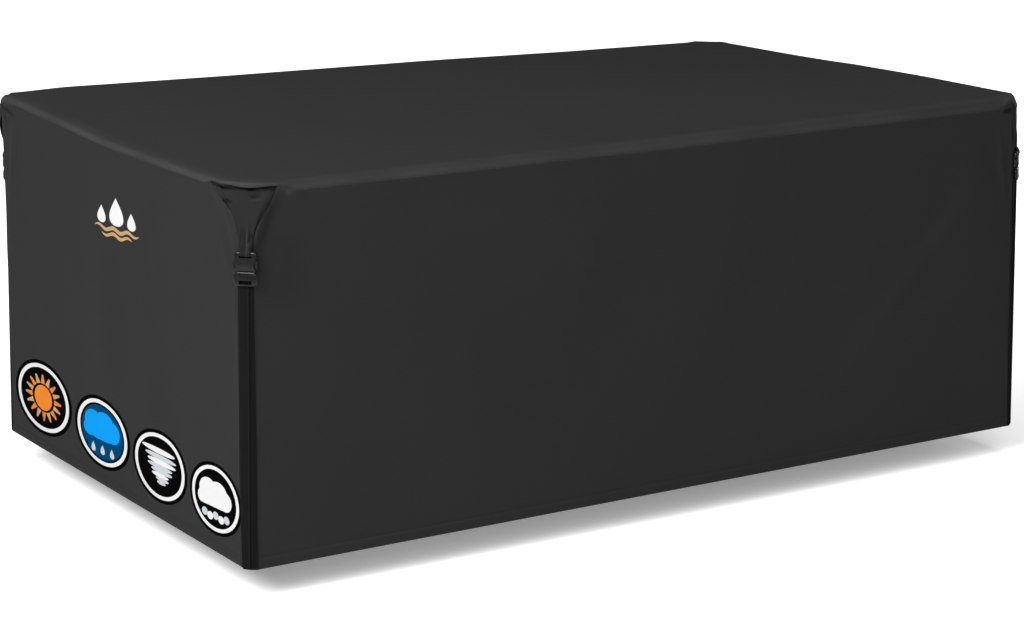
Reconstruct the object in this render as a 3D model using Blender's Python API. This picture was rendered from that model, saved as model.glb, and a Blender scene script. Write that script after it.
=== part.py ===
"""A fitted patio furniture cover, as it sits drawn down over a table set.

The frame: metres, +Z up, +X along the long sides. The origin is the centre of the
underside of the top panel, which is what holds the cover up. "Front" is -Y and "left"
is -X. Depth is measured down from the outside of the top.
"""

import math

import bmesh
import bpy
from mathutils import Matrix, Vector

# Driving sizes.
LENGTH = 1.83
WIDTH = 1.12
HEIGHT = 0.71
CLOTH = 0.002
GAP = 0.0003

# How far the top rolls over its edges before the seam: each side has its own roll at both
# ends, and the seam rises to a tight lip over each corner.
ROLL_CORNER = 0.0035
ROLL_SAG = 0.0045
ROLL_EASE = 0.020
ROLL_ANGLES = (0, 35, 65, 90)

# The tuck at each corner: how its reach narrows down to the buckle and on to the hem, and
# how full the corner's curve is (0 is a flat chamfer).
TUCK_HEM = 0.020
TUCK_CURVE = 1.9
PINCH_DEPTH = 0.150
FULL_TOP = 0.25
FULL_LOW = 0.60
GUSSET_NARROWS = 0.045
GUSSET_TIP = 0.045
LIP = 0.0035
LIP_ROWS = 3

# Rows of the side panels below their seam, as depths.
TUCK_ROWS = (0.040, 0.062, 0.090, 0.120, PINCH_DEPTH)
SKIRT_ROWS = (0.168, 0.290, 0.410, 0.530, 0.640, HEIGHT)
LONG_COLUMNS = 26
SHORT_COLUMNS = 16
END_COLUMNS = (0.0, 0.0065, 0.013, 0.021, 0.045)
CORNER_COLUMNS = 8

# The flat of the top, as shares of the way from its edge to its middle line.
TOP_RINGS = (0.10, 0.30, 0.62, 1.0)

# The corners in the order in which the outline runs, seen from above: its sides, how much
# higher or lower than the rest its top lies, how far from the ideal corner the side panels
# start (at the top and at the buckle), and how far its band and buckle sit to one side.
CORNERS = (
    dict(name="front_left", x=-1, y=-1, lift=0.002, tuck=0.078, low=0.024, aside=1.0),
    dict(name="front_right", x=1, y=-1, lift=0.004, tuck=0.040, low=0.033, aside=-0.4),
    dict(name="back_right", x=1, y=1, lift=-0.0185, tuck=0.052, low=0.030, aside=0.5),
    dict(name="back_left", x=-1, y=1, lift=0.0225, tuck=0.036, low=0.032, aside=-0.5),
)
SIDES = (
    dict(name="long_panel_front", along=(1, 0), roll=(0.0165, 0.0255), columns=LONG_COLUMNS),
    dict(name="short_panel_right", along=(0, 1), roll=(0.013, 0.013), columns=SHORT_COLUMNS),
    dict(name="long_panel_back", along=(-1, 0), roll=(0.020, 0.018), columns=LONG_COLUMNS),
    dict(name="short_panel_left", along=(0, -1), roll=(0.013, 0.013), columns=SHORT_COLUMNS),
)

# Soft hollows and rises of the top: middle, reach each way, and height.
TOP_WAVES = (
    dict(x=-0.48, y=0.05, reach_x=0.34, reach_y=0.30, lift=-0.005),
    dict(x=0.10, y=-0.10, reach_x=0.30, reach_y=0.26, lift=0.002),
    dict(x=0.55, y=0.10, reach_x=0.30, reach_y=0.32, lift=-0.006),
    dict(x=0.90, y=0.12, reach_x=0.28, reach_y=0.42, lift=-0.0045),
    dict(x=0.08, y=0.52, reach_x=0.50, reach_y=0.30, lift=0.0025),
)

# Soft folds of the skirt: the side, the middle of the fold (along the side from its
# centre, and depth), half its length and width, its lean from upright, and its push out.
SKIRT_FOLDS = (
    dict(side=0, along=0.52, depth=0.34, half_length=0.36, half_width=0.13, lean=38, push=0.006),
    dict(side=0, along=0.20, depth=0.40, half_length=0.34, half_width=0.12, lean=24, push=-0.004),
    dict(side=0, along=-0.44, depth=0.45, half_length=0.34, half_width=0.14, lean=-8, push=0.003),
    dict(side=1, along=-0.16, depth=0.40, half_length=0.33, half_width=0.11, lean=12, push=0.004),
    dict(side=1, along=0.20, depth=0.42, half_length=0.30, half_width=0.12, lean=-9, push=-0.003),
    dict(side=2, along=-0.38, depth=0.42, half_length=0.36, half_width=0.14, lean=-26, push=0.005),
    dict(side=2, along=0.30, depth=0.40, half_length=0.34, half_width=0.12, lean=14, push=-0.004),
    dict(side=3, along=-0.05, depth=0.36, half_length=0.32, half_width=0.10, lean=4, push=0.003),
    dict(side=3, along=0.24, depth=0.46, half_length=0.30, half_width=0.10, lean=-10, push=-0.003),
)
FOLD_FADE_END = 0.16
FOLD_FADE_TOP = 0.16
FOLD_START = 0.026

# The tape over each corner seam and the webbing on it. A side is a distance across the
# corner, at the tape's top and at the hem.
BAND_WIDTH = 0.034
BAND_THICK = 0.0016
BAND_START = 0.163
BAND_END = HEIGHT - 0.001
BAND_SIDE = (0.0070, -0.0020)
BAND_COLUMNS = 6
BAND_ROWS = 5
STRAP_WIDTH = 0.019
STRAP_THICK = 0.0014
STRAP_SIDE = (0.0005, -0.0085)
STRAP_START = 0.1705
STRAP_END = HEIGHT - 0.004
STRAP_ROWS = 5
STRAP_COLUMNS = 4
STRAP_LIFT = 0.0005
TAB_START = 0.104
TAB_END = 0.1215
TAB_SIDE = (0.0040, 0.0040)
TAB_ROWS = 3

# The side-release buckle: overall, then its socket and its prong. Lengths run down it.
BUCKLE_WIDTH = 0.045
BUCKLE_SIDE = 0.0040
BUCKLE_TOP_DEPTH = 0.116
BUCKLE_LENGTH = 0.063
SOCKET_LENGTH = 0.036
SOCKET_THICK = 0.0100
BAR = 0.0042
BUCKLE_SLOT = 0.0036
SLOT_WIDTH = 0.0235
THROAT_WIDTH = 0.0370
THROAT_DEPTH = 0.0255
THROAT_THICK = 0.0062
WINDOW_START = 0.0030
WINDOW_LENGTH = 0.0195
WINDOW_OVER = 0.0006
PRONG_THICK = 0.0078
PRONG_SLOT = 0.0050
ARM_WIDTH = 0.0056
ARM_LENGTH = 0.0240
ARM_ROOT = 0.0020
LUG_ROOT = 0.0010
LUG_INSET = 0.0006
GUIDE_WIDTH = 0.0080
GUIDE_LENGTH = 0.0180
BUCKLE_BEVEL = 0.0011
BUCKLE_ROUND = 0.0024
BUCKLE_LIFT = 0.0006
CUT_OVER = 0.01

# Colour, roughness and metallic value of each material.
FINISHES = dict(
    cloth=((0.034, 0.034, 0.036, 1.0), 0.72, 0.0),
    tape=((0.010, 0.010, 0.011, 1.0), 0.80, 0.0),
    webbing=((0.014, 0.014, 0.015, 1.0), 0.75, 0.0),
    plastic=((0.020, 0.020, 0.021, 1.0), 0.38, 0.0),
)


def clear_scene():
    """Takes every object out of the scene."""
    for thing in list(bpy.data.objects):
        bpy.data.objects.remove(thing, do_unlink=True)


def finish(name):
    """The named Principled material, made once."""
    found = bpy.data.materials.get(name)
    if found:
        return found
    colour, roughness, metallic = FINISHES[name]
    made = bpy.data.materials.new(name)
    made.use_nodes = True
    shader = made.node_tree.nodes["Principled BSDF"]
    shader.inputs["Base Color"].default_value = colour
    shader.inputs["Roughness"].default_value = roughness
    shader.inputs["Metallic"].default_value = metallic
    made.diffuse_color = colour
    return made


def smooth(share):
    """A soft step from 0 to 1."""
    share = min(1.0, max(0.0, share))
    return share * share * (3.0 - 2.0 * share)


def mix(low, high, share):
    return low + (high - low) * share


def bell(distance):
    """A soft hump: 1 in the middle, 0 from 1 outwards."""
    if abs(distance) >= 1.0:
        return 0.0
    return math.cos(distance * math.pi / 2.0) ** 2


def top_relief(x, y):
    """How far the top lies over or under its plane."""
    rise = 0.0
    for wave in TOP_WAVES:
        across = (x - wave["x"]) / wave["reach_x"]
        back = (y - wave["y"]) / wave["reach_y"]
        rise += wave["lift"] * bell(math.hypot(across, back))
    share_x = min(1.0, abs(x) / (LENGTH / 2.0))
    share_y = min(1.0, abs(y) / (WIDTH / 2.0))
    for corner in CORNERS:
        if corner["x"] * x >= 0.0 and corner["y"] * y >= 0.0:
            return rise + corner["lift"] * share_x * share_y
    return rise


def tuck_reach(index, depth):
    """How far from the ideal corner a side panel starts."""
    corner = CORNERS[index % 4]
    if depth > PINCH_DEPTH:
        return mix(corner["low"], TUCK_HEM, (depth - PINCH_DEPTH) / (HEIGHT - PINCH_DEPTH))
    return mix(corner["low"], corner["tuck"], (1.0 - depth / PINCH_DEPTH) ** TUCK_CURVE)


def corner_fullness(depth):
    return mix(FULL_TOP, FULL_LOW, smooth(depth / PINCH_DEPTH))


def gusset_edge(depth):
    """Where the gusset starts along the corner's curve: 0 at the top, near 0.5 at its tip."""
    if depth > PINCH_DEPTH + GAP:
        return 0.5
    share = max(0.0, (depth - GUSSET_NARROWS) / (PINCH_DEPTH - GUSSET_NARROWS))
    return (0.5 - GUSSET_TIP) * share**1.3


def ideal_corner(index):
    corner = CORNERS[index % 4]
    return Vector((corner["x"] * LENGTH / 2.0, corner["y"] * WIDTH / 2.0))


def corner_curve(index, depth, share):
    """A point on a corner's outline at this depth; share runs from 0 to 1 round it."""
    way_in = Vector(SIDES[(index - 1) % 4]["along"])
    way_out = Vector(SIDES[index % 4]["along"])
    reach = tuck_reach(index, depth)
    point = ideal_corner(index)
    start = point - way_in * reach
    end = point + way_out * reach
    chord = start.lerp(end, share)
    turn = share * math.pi / 2.0
    centre = point + (way_out - way_in) * reach
    arc = centre - way_out * reach * math.cos(turn) + way_in * reach * math.sin(turn)
    return chord.lerp(arc, corner_fullness(depth))


def side_outline(index, depth, steps=8):
    """The outline of one side panel at this depth, from seam to seam."""
    edge = gusset_edge(depth)
    points = []
    for step in range(steps + 1):
        points.append(corner_curve(index, depth, mix(1.0 - edge, 1.0, step / steps)))
    for step in range(steps + 1):
        points.append(corner_curve(index + 1, depth, mix(0.0, edge, step / steps)))
    return points


def run_length(points):
    return sum((b - a).length for a, b in zip(points, points[1:]))


def walk(points, distance):
    """The point this far along a run of points."""
    for a, b in zip(points, points[1:]):
        step = (b - a).length
        if distance <= step and step > 0.0:
            return a.lerp(b, distance / step)
        distance -= step
    return points[-1].copy()


def corner_roll(share):
    """How far the top rolls over at this share of the way round a corner."""
    return ROLL_CORNER + ROLL_SAG * math.sin(share * math.pi) ** 2


def side_ease(place, length):
    """How far the seam has sunk to the side's own roll: 0 at both ends of the side."""
    return smooth(min(place, length - place) / ROLL_EASE)


def side_roll(index, place, length):
    """How far the top rolls over this far along a side."""
    roll = mix(*SIDES[index]["roll"], place / length)
    return mix(ROLL_CORNER, roll, side_ease(place, length))


def seam_gap(place, length):
    """The gap under the seam, wider where the seam slants."""
    ease = side_ease(place, length)
    return GAP * (1.0 + 4.0 * ease * (1.0 - ease))


def fold_push(index, point, depth):
    """How far the skirt's soft folds push it out here."""
    along = Vector(SIDES[index]["along"])
    here = point.dot(along)
    half = (LENGTH if along.x else WIDTH) / 2.0
    fade = smooth((half - abs(here)) / FOLD_FADE_END) * smooth((depth - FOLD_START) / FOLD_FADE_TOP)
    push = 0.0
    for fold in SKIRT_FOLDS:
        if fold["side"] != index:
            continue
        lean = math.radians(fold["lean"])
        right = here - fold["along"]
        down = depth - fold["depth"]
        length = (down * math.cos(lean) - right * math.sin(lean)) / fold["half_length"]
        width = (right * math.cos(lean) + down * math.sin(lean)) / fold["half_width"]
        push += fold["push"] * bell(length) * bell(width)
    return push * fade


def outside(index):
    along = SIDES[index]["along"]
    return Vector((along[1], -along[0]))


def lifted(point, depth):
    """The space point at this depth: the top's unevenness dies out towards the hem."""
    rise = top_relief(point.x, point.y) * (1.0 - depth / HEIGHT)
    return Vector((point.x, point.y, CLOTH - depth + rise))


def grid_normals(rows):
    """A unit normal at each point of a grid whose columns run round and rows run down."""
    normals = []
    last_row = len(rows) - 1
    last_column = len(rows[0]) - 1
    for r, row in enumerate(rows):
        line = []
        for c in range(len(row)):
            across = row[min(c + 1, last_column)] - row[max(c - 1, 0)]
            down = rows[min(r + 1, last_row)][c] - rows[max(r - 1, 0)][c]
            line.append(down.cross(across).normalized())
        normals.append(line)
    return normals


def offset_grid(rows, normals, distance):
    moved = []
    for row, line in zip(rows, normals):
        moved.append([point + normal * distance for point, normal in zip(row, line)])
    return moved


def add_object(name, mesh, material):
    mesh.materials.append(finish(material))
    mesh.shade_smooth()
    mesh.set_sharp_from_angle(angle=math.radians(40))
    made = bpy.data.objects.new(name, mesh)
    bpy.context.collection.objects.link(made)
    return made


def slab(name, front, back, material):
    """A closed sheet between two matching grids: front faces out, back faces in."""
    mesh = bpy.data.meshes.new(name)
    shape = bmesh.new()
    rows = len(front)
    columns = len(front[0])
    faces = {}
    for key, grid in (("front", front), ("back", back)):
        faces[key] = [[shape.verts.new(point) for point in row] for row in grid]
    for r in range(rows - 1):
        for c in range(columns - 1):
            a, b = faces["front"][r][c], faces["front"][r][c + 1]
            d, e = faces["front"][r + 1][c], faces["front"][r + 1][c + 1]
            shape.faces.new((a, d, e, b))
            a, b = faces["back"][r][c], faces["back"][r][c + 1]
            d, e = faces["back"][r + 1][c], faces["back"][r + 1][c + 1]
            shape.faces.new((a, b, e, d))
    rim = [(0, c) for c in range(columns)]
    rim += [(r, columns - 1) for r in range(1, rows)]
    rim += [(rows - 1, c) for c in range(columns - 2, -1, -1)]
    rim += [(r, 0) for r in range(rows - 2, 0, -1)]
    for here, after in zip(rim, rim[1:] + rim[:1]):
        a = faces["front"][here[0]][here[1]]
        b = faces["front"][after[0]][after[1]]
        d = faces["back"][here[0]][here[1]]
        e = faces["back"][after[0]][after[1]]
        shape.faces.new((a, b, e, d))
    bmesh.ops.recalc_face_normals(shape, faces=shape.faces)
    shape.to_mesh(mesh)
    shape.free()
    return add_object(name, mesh, material)


def column_places(length, columns):
    """Distances along a row: close together round its ends, even between them."""
    start = END_COLUMNS[-1]
    between = [mix(start, length - start, c / columns) for c in range(1, columns)]
    return list(END_COLUMNS) + between + [length - place for place in reversed(END_COLUMNS)]


def side_rows(index):
    """A side panel's outer face, row by row from its seam to its hem."""
    rows = []
    for r, depth in enumerate((ROLL_CORNER + GAP,) + TUCK_ROWS + SKIRT_ROWS):
        outline = side_outline(index, depth)
        length = run_length(outline) - GAP
        row = []
        for place in column_places(length, SIDES[index]["columns"]):
            flat = walk(outline, place + GAP / 2.0)
            flat = flat + outside(index) * fold_push(index, flat, depth)
            true_depth = depth
            if r == 0:
                true_depth = side_roll(index, place, length) + seam_gap(place, length)
            row.append(lifted(flat, true_depth))
        rows.append(row)
    return rows


def gusset_rows(index):
    """The outer face of the V of cloth under a top corner, tucked in behind the top's lip."""
    rows = []
    for r, depth in enumerate((0.0,) + TUCK_ROWS):
        edge = gusset_edge(depth)
        trim = GAP / 2.0 / (2.0 * tuck_reach(index, depth) * (0.5 - edge))
        row = []
        for c in range(CORNER_COLUMNS + 1):
            around = c / CORNER_COLUMNS
            true_depth = depth if r else corner_roll(around) + GAP
            share = mix(edge, 1.0 - edge, mix(trim, 1.0 - trim, around))
            flat = corner_curve(index, true_depth, share)
            tuck = LIP * math.sin(around * math.pi) * smooth(1.0 - r / LIP_ROWS)
            row.append(lifted(flat - corner_outward(index) * tuck, true_depth))
        rows.append(row)
    return rows


def meet(first, second, column_first, column_second, rows):
    """Gives two grids of normals the same ones where they meet, so that their rims match."""
    for r in rows:
        shared = (first[r][column_first] + second[r][column_second]).normalized()
        first[r][column_first] = shared
        second[r][column_second] = shared


def skirt():
    """The side panels and the corner gussets, whose thickness is mitred where they meet."""
    sides = [side_rows(index) for index in range(4)]
    gussets = [gusset_rows(index) for index in range(4)]
    side_normals = [grid_normals(rows) for rows in sides]
    gusset_normals = [grid_normals(rows) for rows in gussets]
    tuck_rows = range(len(TUCK_ROWS) + 1)
    low_rows = range(len(TUCK_ROWS) + 1, len(TUCK_ROWS) + len(SKIRT_ROWS) + 1)
    for index in range(4):
        before = side_normals[index - 1]
        after = side_normals[index]
        meet(before, gusset_normals[index], -1, 0, tuck_rows)
        meet(gusset_normals[index], after, -1, 0, tuck_rows)
        meet(before, after, -1, 0, low_rows)
    for index in range(4):
        back = offset_grid(sides[index], side_normals[index], -CLOTH)
        slab(SIDES[index]["name"], sides[index], back, "cloth")
        back = offset_grid(gussets[index], gusset_normals[index], -CLOTH)
        slab("corner_gusset_" + CORNERS[index]["name"], gussets[index], back, "cloth")


def corner_outward(index):
    corner = CORNERS[index % 4]
    return Vector((corner["x"], corner["y"])).normalized()


def middle_line(x):
    """The point of the top's middle line that a point of its edge is joined to."""
    reach = (LENGTH - WIDTH) / 2.0
    return Vector((min(reach, max(-reach, x)), 0.0))


def top_outline():
    """Points round the top's seam: each has its place, its way out, its roll, and its point
    of the middle line, where the columns of both long sides meet."""
    points = []
    for index in range(4):
        for step in range(CORNER_COLUMNS + 1):
            share = step / CORNER_COLUMNS
            roll = corner_roll(share)
            place = corner_curve(index, roll, share)
            ahead = corner_curve(index, roll, min(1.0, share + 0.02))
            behind = corner_curve(index, roll, max(0.0, share - 0.02))
            way = (ahead - behind).normalized()
            points.append((place, Vector((way.y, -way.x)), roll, middle_line(place.x)))
        start = corner_curve(index, ROLL_CORNER, 1.0)
        end = corner_curve(index + 1, ROLL_CORNER, 0.0)
        length = (end - start).length
        along = SIDES[index]["along"][0]
        columns = SIDES[index]["columns"]
        even = column_places(LENGTH, columns)
        for place, shared in list(zip(column_places(length, columns), even))[1:-1]:
            point = start.lerp(end, place / length)
            middle = middle_line(along * (shared - LENGTH / 2.0) if along else point.x)
            points.append((point, outside(index), side_roll(index, place, length), middle))
    return points


def top_rings():
    """Rings of the top's outer face, from its seam to its middle line."""
    outline = top_outline()
    rings = []
    for angle in reversed(ROLL_ANGLES):
        turn = math.radians(angle)
        ring = []
        for place, out, roll, middle in outline:
            flat = place - out * roll * (1.0 - math.sin(turn))
            normal = Vector((out.x * math.sin(turn), out.y * math.sin(turn), math.cos(turn)))
            ring.append((lifted(flat, roll * (1.0 - math.cos(turn))), normal))
        rings.append(ring)
    for share in TOP_RINGS:
        ring = []
        for place, out, roll, middle in outline:
            flat = (place - out * roll).lerp(middle, share)
            ring.append((lifted(flat, 0.0), Vector((0.0, 0.0, 1.0))))
        rings.append(ring)
    return rings


def top_panel():
    rings = top_rings()
    count = len(rings[0])
    mesh = bpy.data.meshes.new("top_panel")
    shape = bmesh.new()
    outer = [[shape.verts.new(point) for point, normal in ring] for ring in rings]
    inner = [[shape.verts.new(point - normal * CLOTH) for point, normal in ring] for ring in rings]
    for r in range(len(rings) - 1):
        for c in range(count):
            d = (c + 1) % count
            shape.faces.new((outer[r][c], outer[r][d], outer[r + 1][d], outer[r + 1][c]))
            shape.faces.new((inner[r][c], inner[r + 1][c], inner[r + 1][d], inner[r][d]))
    for c in range(count):
        d = (c + 1) % count
        shape.faces.new((outer[0][c], inner[0][c], inner[0][d], outer[0][d]))
    bmesh.ops.remove_doubles(shape, verts=shape.verts, dist=0.00002)
    bmesh.ops.recalc_face_normals(shape, faces=shape.faces)
    shape.to_mesh(mesh)
    shape.free()
    return add_object("top_panel", mesh, "cloth")


def corner_frame(index):
    """Where a corner's pieces sit: x runs across the corner, y out of it, z up."""
    out = corner_outward(index)
    across = Vector((-out.y, out.x))
    point = ideal_corner(index)
    return Matrix(
        (
            (across.x, out.x, 0.0, point.x),
            (across.y, out.y, 0.0, point.y),
            (0.0, 0.0, 1.0, 0.0),
            (0.0, 0.0, 0.0, 1.0),
        )
    )


def corner_skin(index, side, depth):
    """The corner's surface at this distance across it, in the corner's own frame."""
    frame = corner_frame(index).inverted()
    low, high = 0.0, 1.0
    for _ in range(24):
        share = (low + high) / 2.0
        flat = corner_curve(index, depth, share)
        if (frame @ Vector((flat.x, flat.y, 0.0))).x < side:
            low = share
        else:
            high = share
    flat = corner_curve(index, depth, (low + high) / 2.0)
    place = lifted(flat, depth)
    return frame @ place


def strip(name, index, material, place, across, thick, lift):
    """A strip of tape or webbing laid down a corner. place is its start, end and rows;
    across is its sides, width and columns; lift is its clearance over the cloth."""
    start, end, rows = place
    sides, width, columns = across
    frame = corner_frame(index)
    local = []
    for r in range(rows):
        depth = mix(start, end, r / (rows - 1))
        middle = CORNERS[index]["aside"] * mix(*sides, r / (rows - 1))
        row = []
        for c in range(columns + 1):
            side = middle + width * (c / columns - 0.5)
            row.append(corner_skin(index, side, depth))
        local.append(row)
    normals = [[-normal for normal in line] for line in grid_normals(local)]
    if normals[0][0].y < 0.0:
        normals = [[-normal for normal in line] for line in normals]
    back = offset_grid(local, normals, lift)
    front = offset_grid(local, normals, lift + thick)
    front = [[frame @ point for point in row] for row in front]
    back = [[frame @ point for point in row] for row in back]
    return slab(name, front, back, material)


def box_mesh(shape, low, high):
    """Adds a box between two corners to a bmesh, and gives its faces' verts."""
    made = bmesh.ops.create_cube(shape, size=1.0)["verts"]
    for vert in made:
        for axis in range(3):
            vert.co[axis] = mix(low[axis], high[axis], vert.co[axis] + 0.5)
    return made


def cutter(name, low, high):
    """A hidden box that a Boolean takes away."""
    mesh = bpy.data.meshes.new(name)
    shape = bmesh.new()
    box_mesh(shape, low, high)
    bmesh.ops.recalc_face_normals(shape, faces=shape.faces)
    shape.to_mesh(mesh)
    shape.free()
    made = bpy.data.objects.new(name, mesh)
    made.hide_render = True
    made.display_type = "WIRE"
    bpy.context.collection.objects.link(made)
    return made


def carved(name, low, high, bevel, cuts):
    """A bevelled block with boxes cut out of it, as a plain mesh."""
    mesh = bpy.data.meshes.new(name)
    shape = bmesh.new()
    box_mesh(shape, low, high)
    upright = [edge for edge in shape.edges if abs(edge.verts[0].co.y - edge.verts[1].co.y) > 0.001]
    bmesh.ops.bevel(
        shape, geom=upright, offset=BUCKLE_ROUND, segments=2, profile=0.5, affect="EDGES"
    )
    flat = [edge for edge in shape.edges if abs(edge.verts[0].co.y - edge.verts[1].co.y) < 1e-6]
    bmesh.ops.bevel(shape, geom=flat, offset=bevel, segments=1, profile=0.5, affect="EDGES")
    bmesh.ops.recalc_face_normals(shape, faces=shape.faces)
    shape.to_mesh(mesh)
    shape.free()
    block = bpy.data.objects.new(name, mesh)
    bpy.context.collection.objects.link(block)
    tools = []
    for number, (cut_low, cut_high) in enumerate(cuts):
        tool = cutter(f"{name}_cut_{number}", cut_low, cut_high)
        hole = block.modifiers.new(f"cut_{number}", "BOOLEAN")
        hole.operation = "DIFFERENCE"
        hole.object = tool
        tools.append(tool)
    graph = bpy.context.evaluated_depsgraph_get()
    result = bpy.data.meshes.new_from_object(block.evaluated_get(graph))
    for thing in [block] + tools:
        bpy.data.objects.remove(thing, do_unlink=True)
    return result


def socket_mesh():
    """The buckle's upper half: x across, y out (0 is its back), z up (0 is its top)."""
    half = BUCKLE_WIDTH / 2.0
    end = -SOCKET_LENGTH
    depth = (SOCKET_THICK - THROAT_THICK) / 2.0
    top = depth + THROAT_THICK
    throat = (
        (-THROAT_WIDTH / 2.0, depth, end - CUT_OVER),
        (THROAT_WIDTH / 2.0, top, end + THROAT_DEPTH),
    )
    windows = (
        (-half - CUT_OVER, depth - WINDOW_OVER, end + WINDOW_START),
        (half + CUT_OVER, top + WINDOW_OVER, end + WINDOW_START + WINDOW_LENGTH),
    )
    slot = (
        (-SLOT_WIDTH / 2.0, -CUT_OVER, -BAR - BUCKLE_SLOT),
        (SLOT_WIDTH / 2.0, SOCKET_THICK + CUT_OVER, -BAR),
    )
    return carved(
        "buckle_socket",
        (-half, 0.0, end),
        (half, SOCKET_THICK, 0.0),
        BUCKLE_BEVEL,
        (throat, windows, slot),
    )


def prong_mesh():
    """The buckle's lower half, in the socket's frame: a barred base, two arms, a guide."""
    half = BUCKLE_WIDTH / 2.0
    start = -SOCKET_LENGTH - GAP
    end = -BUCKLE_LENGTH
    low = (SOCKET_THICK - PRONG_THICK) / 2.0
    arm_low = (SOCKET_THICK - THROAT_THICK) / 2.0 + GAP
    arm_high = arm_low + THROAT_THICK - 2.0 * GAP
    slot_low = end + BAR
    slot = (
        (-SLOT_WIDTH / 2.0, -CUT_OVER, slot_low),
        (SLOT_WIDTH / 2.0, PRONG_THICK + CUT_OVER, slot_low + PRONG_SLOT),
    )
    mesh = carved(
        "buckle_prong",
        (-half, low, end),
        (half, low + PRONG_THICK, start),
        BUCKLE_BEVEL,
        (slot,),
    )
    base = bpy.data.objects.new("buckle_base", mesh)
    bpy.context.collection.objects.link(base)
    tools = []
    arm_in = THROAT_WIDTH / 2.0 - GAP - ARM_WIDTH
    lug_out = BUCKLE_WIDTH / 2.0 - LUG_INSET
    lug_low = start + WINDOW_START + GAP * 2.0
    lug_high = lug_low + WINDOW_LENGTH - GAP * 2.0
    sunk = start - ARM_ROOT
    boxes = [((-GUIDE_WIDTH / 2.0, arm_low, sunk), (GUIDE_WIDTH / 2.0, arm_high, start + GUIDE_LENGTH))]
    for sign in (-1, 1):
        xs = sorted((sign * arm_in, sign * (arm_in + ARM_WIDTH)))
        boxes.append(((xs[0], arm_low, sunk), (xs[1], arm_high, start + ARM_LENGTH)))
        xs = sorted((sign * (arm_in + ARM_WIDTH - LUG_ROOT), sign * lug_out))
        boxes.append(((xs[0], arm_low, lug_low), (xs[1], arm_high, lug_high)))
    for number, (box_low, box_high) in enumerate(boxes):
        tool = cutter(f"buckle_arm_{number}", box_low, box_high)
        join = base.modifiers.new(f"join_{number}", "BOOLEAN")
        join.operation = "UNION"
        join.object = tool
        tools.append(tool)
    graph = bpy.context.evaluated_depsgraph_get()
    result = bpy.data.meshes.new_from_object(base.evaluated_get(graph))
    for thing in [base] + tools:
        bpy.data.objects.remove(thing, do_unlink=True)
    return result


def buckle_seat(index):
    """The buckle's place: its back lies on the webbing at both ends, so it leans a little."""
    low_depth = BUCKLE_TOP_DEPTH + BUCKLE_LENGTH
    over_band = GAP + BAND_THICK + STRAP_LIFT + STRAP_THICK + BUCKLE_LIFT
    over_cloth = STRAP_LIFT + STRAP_THICK + BUCKLE_LIFT
    side = CORNERS[index]["aside"] * BUCKLE_SIDE
    upper = corner_skin(index, side, BUCKLE_TOP_DEPTH)
    lower = corner_skin(index, side, low_depth)
    upper_out = upper.y + over_cloth
    lower_out = lower.y + over_band - (SOCKET_THICK - PRONG_THICK) / 2.0
    lean = math.atan2(lower_out - upper_out, BUCKLE_LENGTH)
    place = Matrix.Translation((side, upper_out, upper.z))
    return corner_frame(index) @ place @ Matrix.Rotation(lean, 4, "X")


def hardware(index, socket, prong):
    name = CORNERS[index]["name"]
    seat = buckle_seat(index)
    for label, mesh in (("buckle_socket_", socket), ("buckle_prong_", prong)):
        made = bpy.data.objects.new(label + name, mesh)
        bpy.context.collection.objects.link(made)
        made.matrix_world = seat


def build():
    clear_scene()
    top_panel()
    skirt()
    for index in range(4):
        name = CORNERS[index]["name"]
        strip(
            "corner_band_" + name,
            index,
            "tape",
            (BAND_START, BAND_END, BAND_ROWS),
            (BAND_SIDE, BAND_WIDTH, BAND_COLUMNS),
            BAND_THICK,
            GAP,
        )
        strip(
            "corner_strap_" + name,
            index,
            "webbing",
            (STRAP_START, STRAP_END, STRAP_ROWS),
            (STRAP_SIDE, STRAP_WIDTH, STRAP_COLUMNS),
            STRAP_THICK,
            GAP + BAND_THICK + STRAP_LIFT,
        )
        strip(
            "buckle_tab_" + name,
            index,
            "webbing",
            (TAB_START, TAB_END, TAB_ROWS),
            (TAB_SIDE, STRAP_WIDTH, STRAP_COLUMNS),
            STRAP_THICK,
            STRAP_LIFT,
        )
    socket = socket_mesh()
    prong = prong_mesh()
    for mesh in (socket, prong):
        mesh.materials.clear()
        mesh.materials.append(finish("plastic"))
        mesh.shade_smooth()
        mesh.set_sharp_from_angle(angle=math.radians(35))
    for index in range(4):
        hardware(index, socket, prong)


build()
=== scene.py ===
"""The looks of a fitted patio furniture cover, hanging as it does in use.

Run as a script in Blender 4.5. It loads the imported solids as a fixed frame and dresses
them: fine draped cloth, sewn tapes, webbing, buckles, stitches and prints, then a plain
studio. The frame is in metres with +Z up and +X along the long sides; "front" is -Y and
"left" is -X. Depth is measured down from the outside of the top.
"""

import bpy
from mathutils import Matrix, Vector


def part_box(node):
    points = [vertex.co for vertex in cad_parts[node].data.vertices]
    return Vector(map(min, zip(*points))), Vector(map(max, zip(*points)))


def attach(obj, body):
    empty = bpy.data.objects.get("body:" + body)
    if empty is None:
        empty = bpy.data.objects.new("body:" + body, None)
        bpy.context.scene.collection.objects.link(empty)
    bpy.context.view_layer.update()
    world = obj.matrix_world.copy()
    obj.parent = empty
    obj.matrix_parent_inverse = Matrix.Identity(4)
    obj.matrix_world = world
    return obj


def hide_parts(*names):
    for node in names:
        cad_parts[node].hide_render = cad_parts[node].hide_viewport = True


bl_info = {
    "name": "Patio Furniture Cover",
    "version": (1, 0, 0),
    "blender": (4, 5, 0),
    "location": "View3D > Sidebar > Cover",
    "description": "Dresses a fitted furniture cover and sets a plain studio round it",
    "category": "Object",
}

import math

import bmesh
import bpy
import numpy as np
from mathutils import Matrix, Vector, geometry, noise

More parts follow.
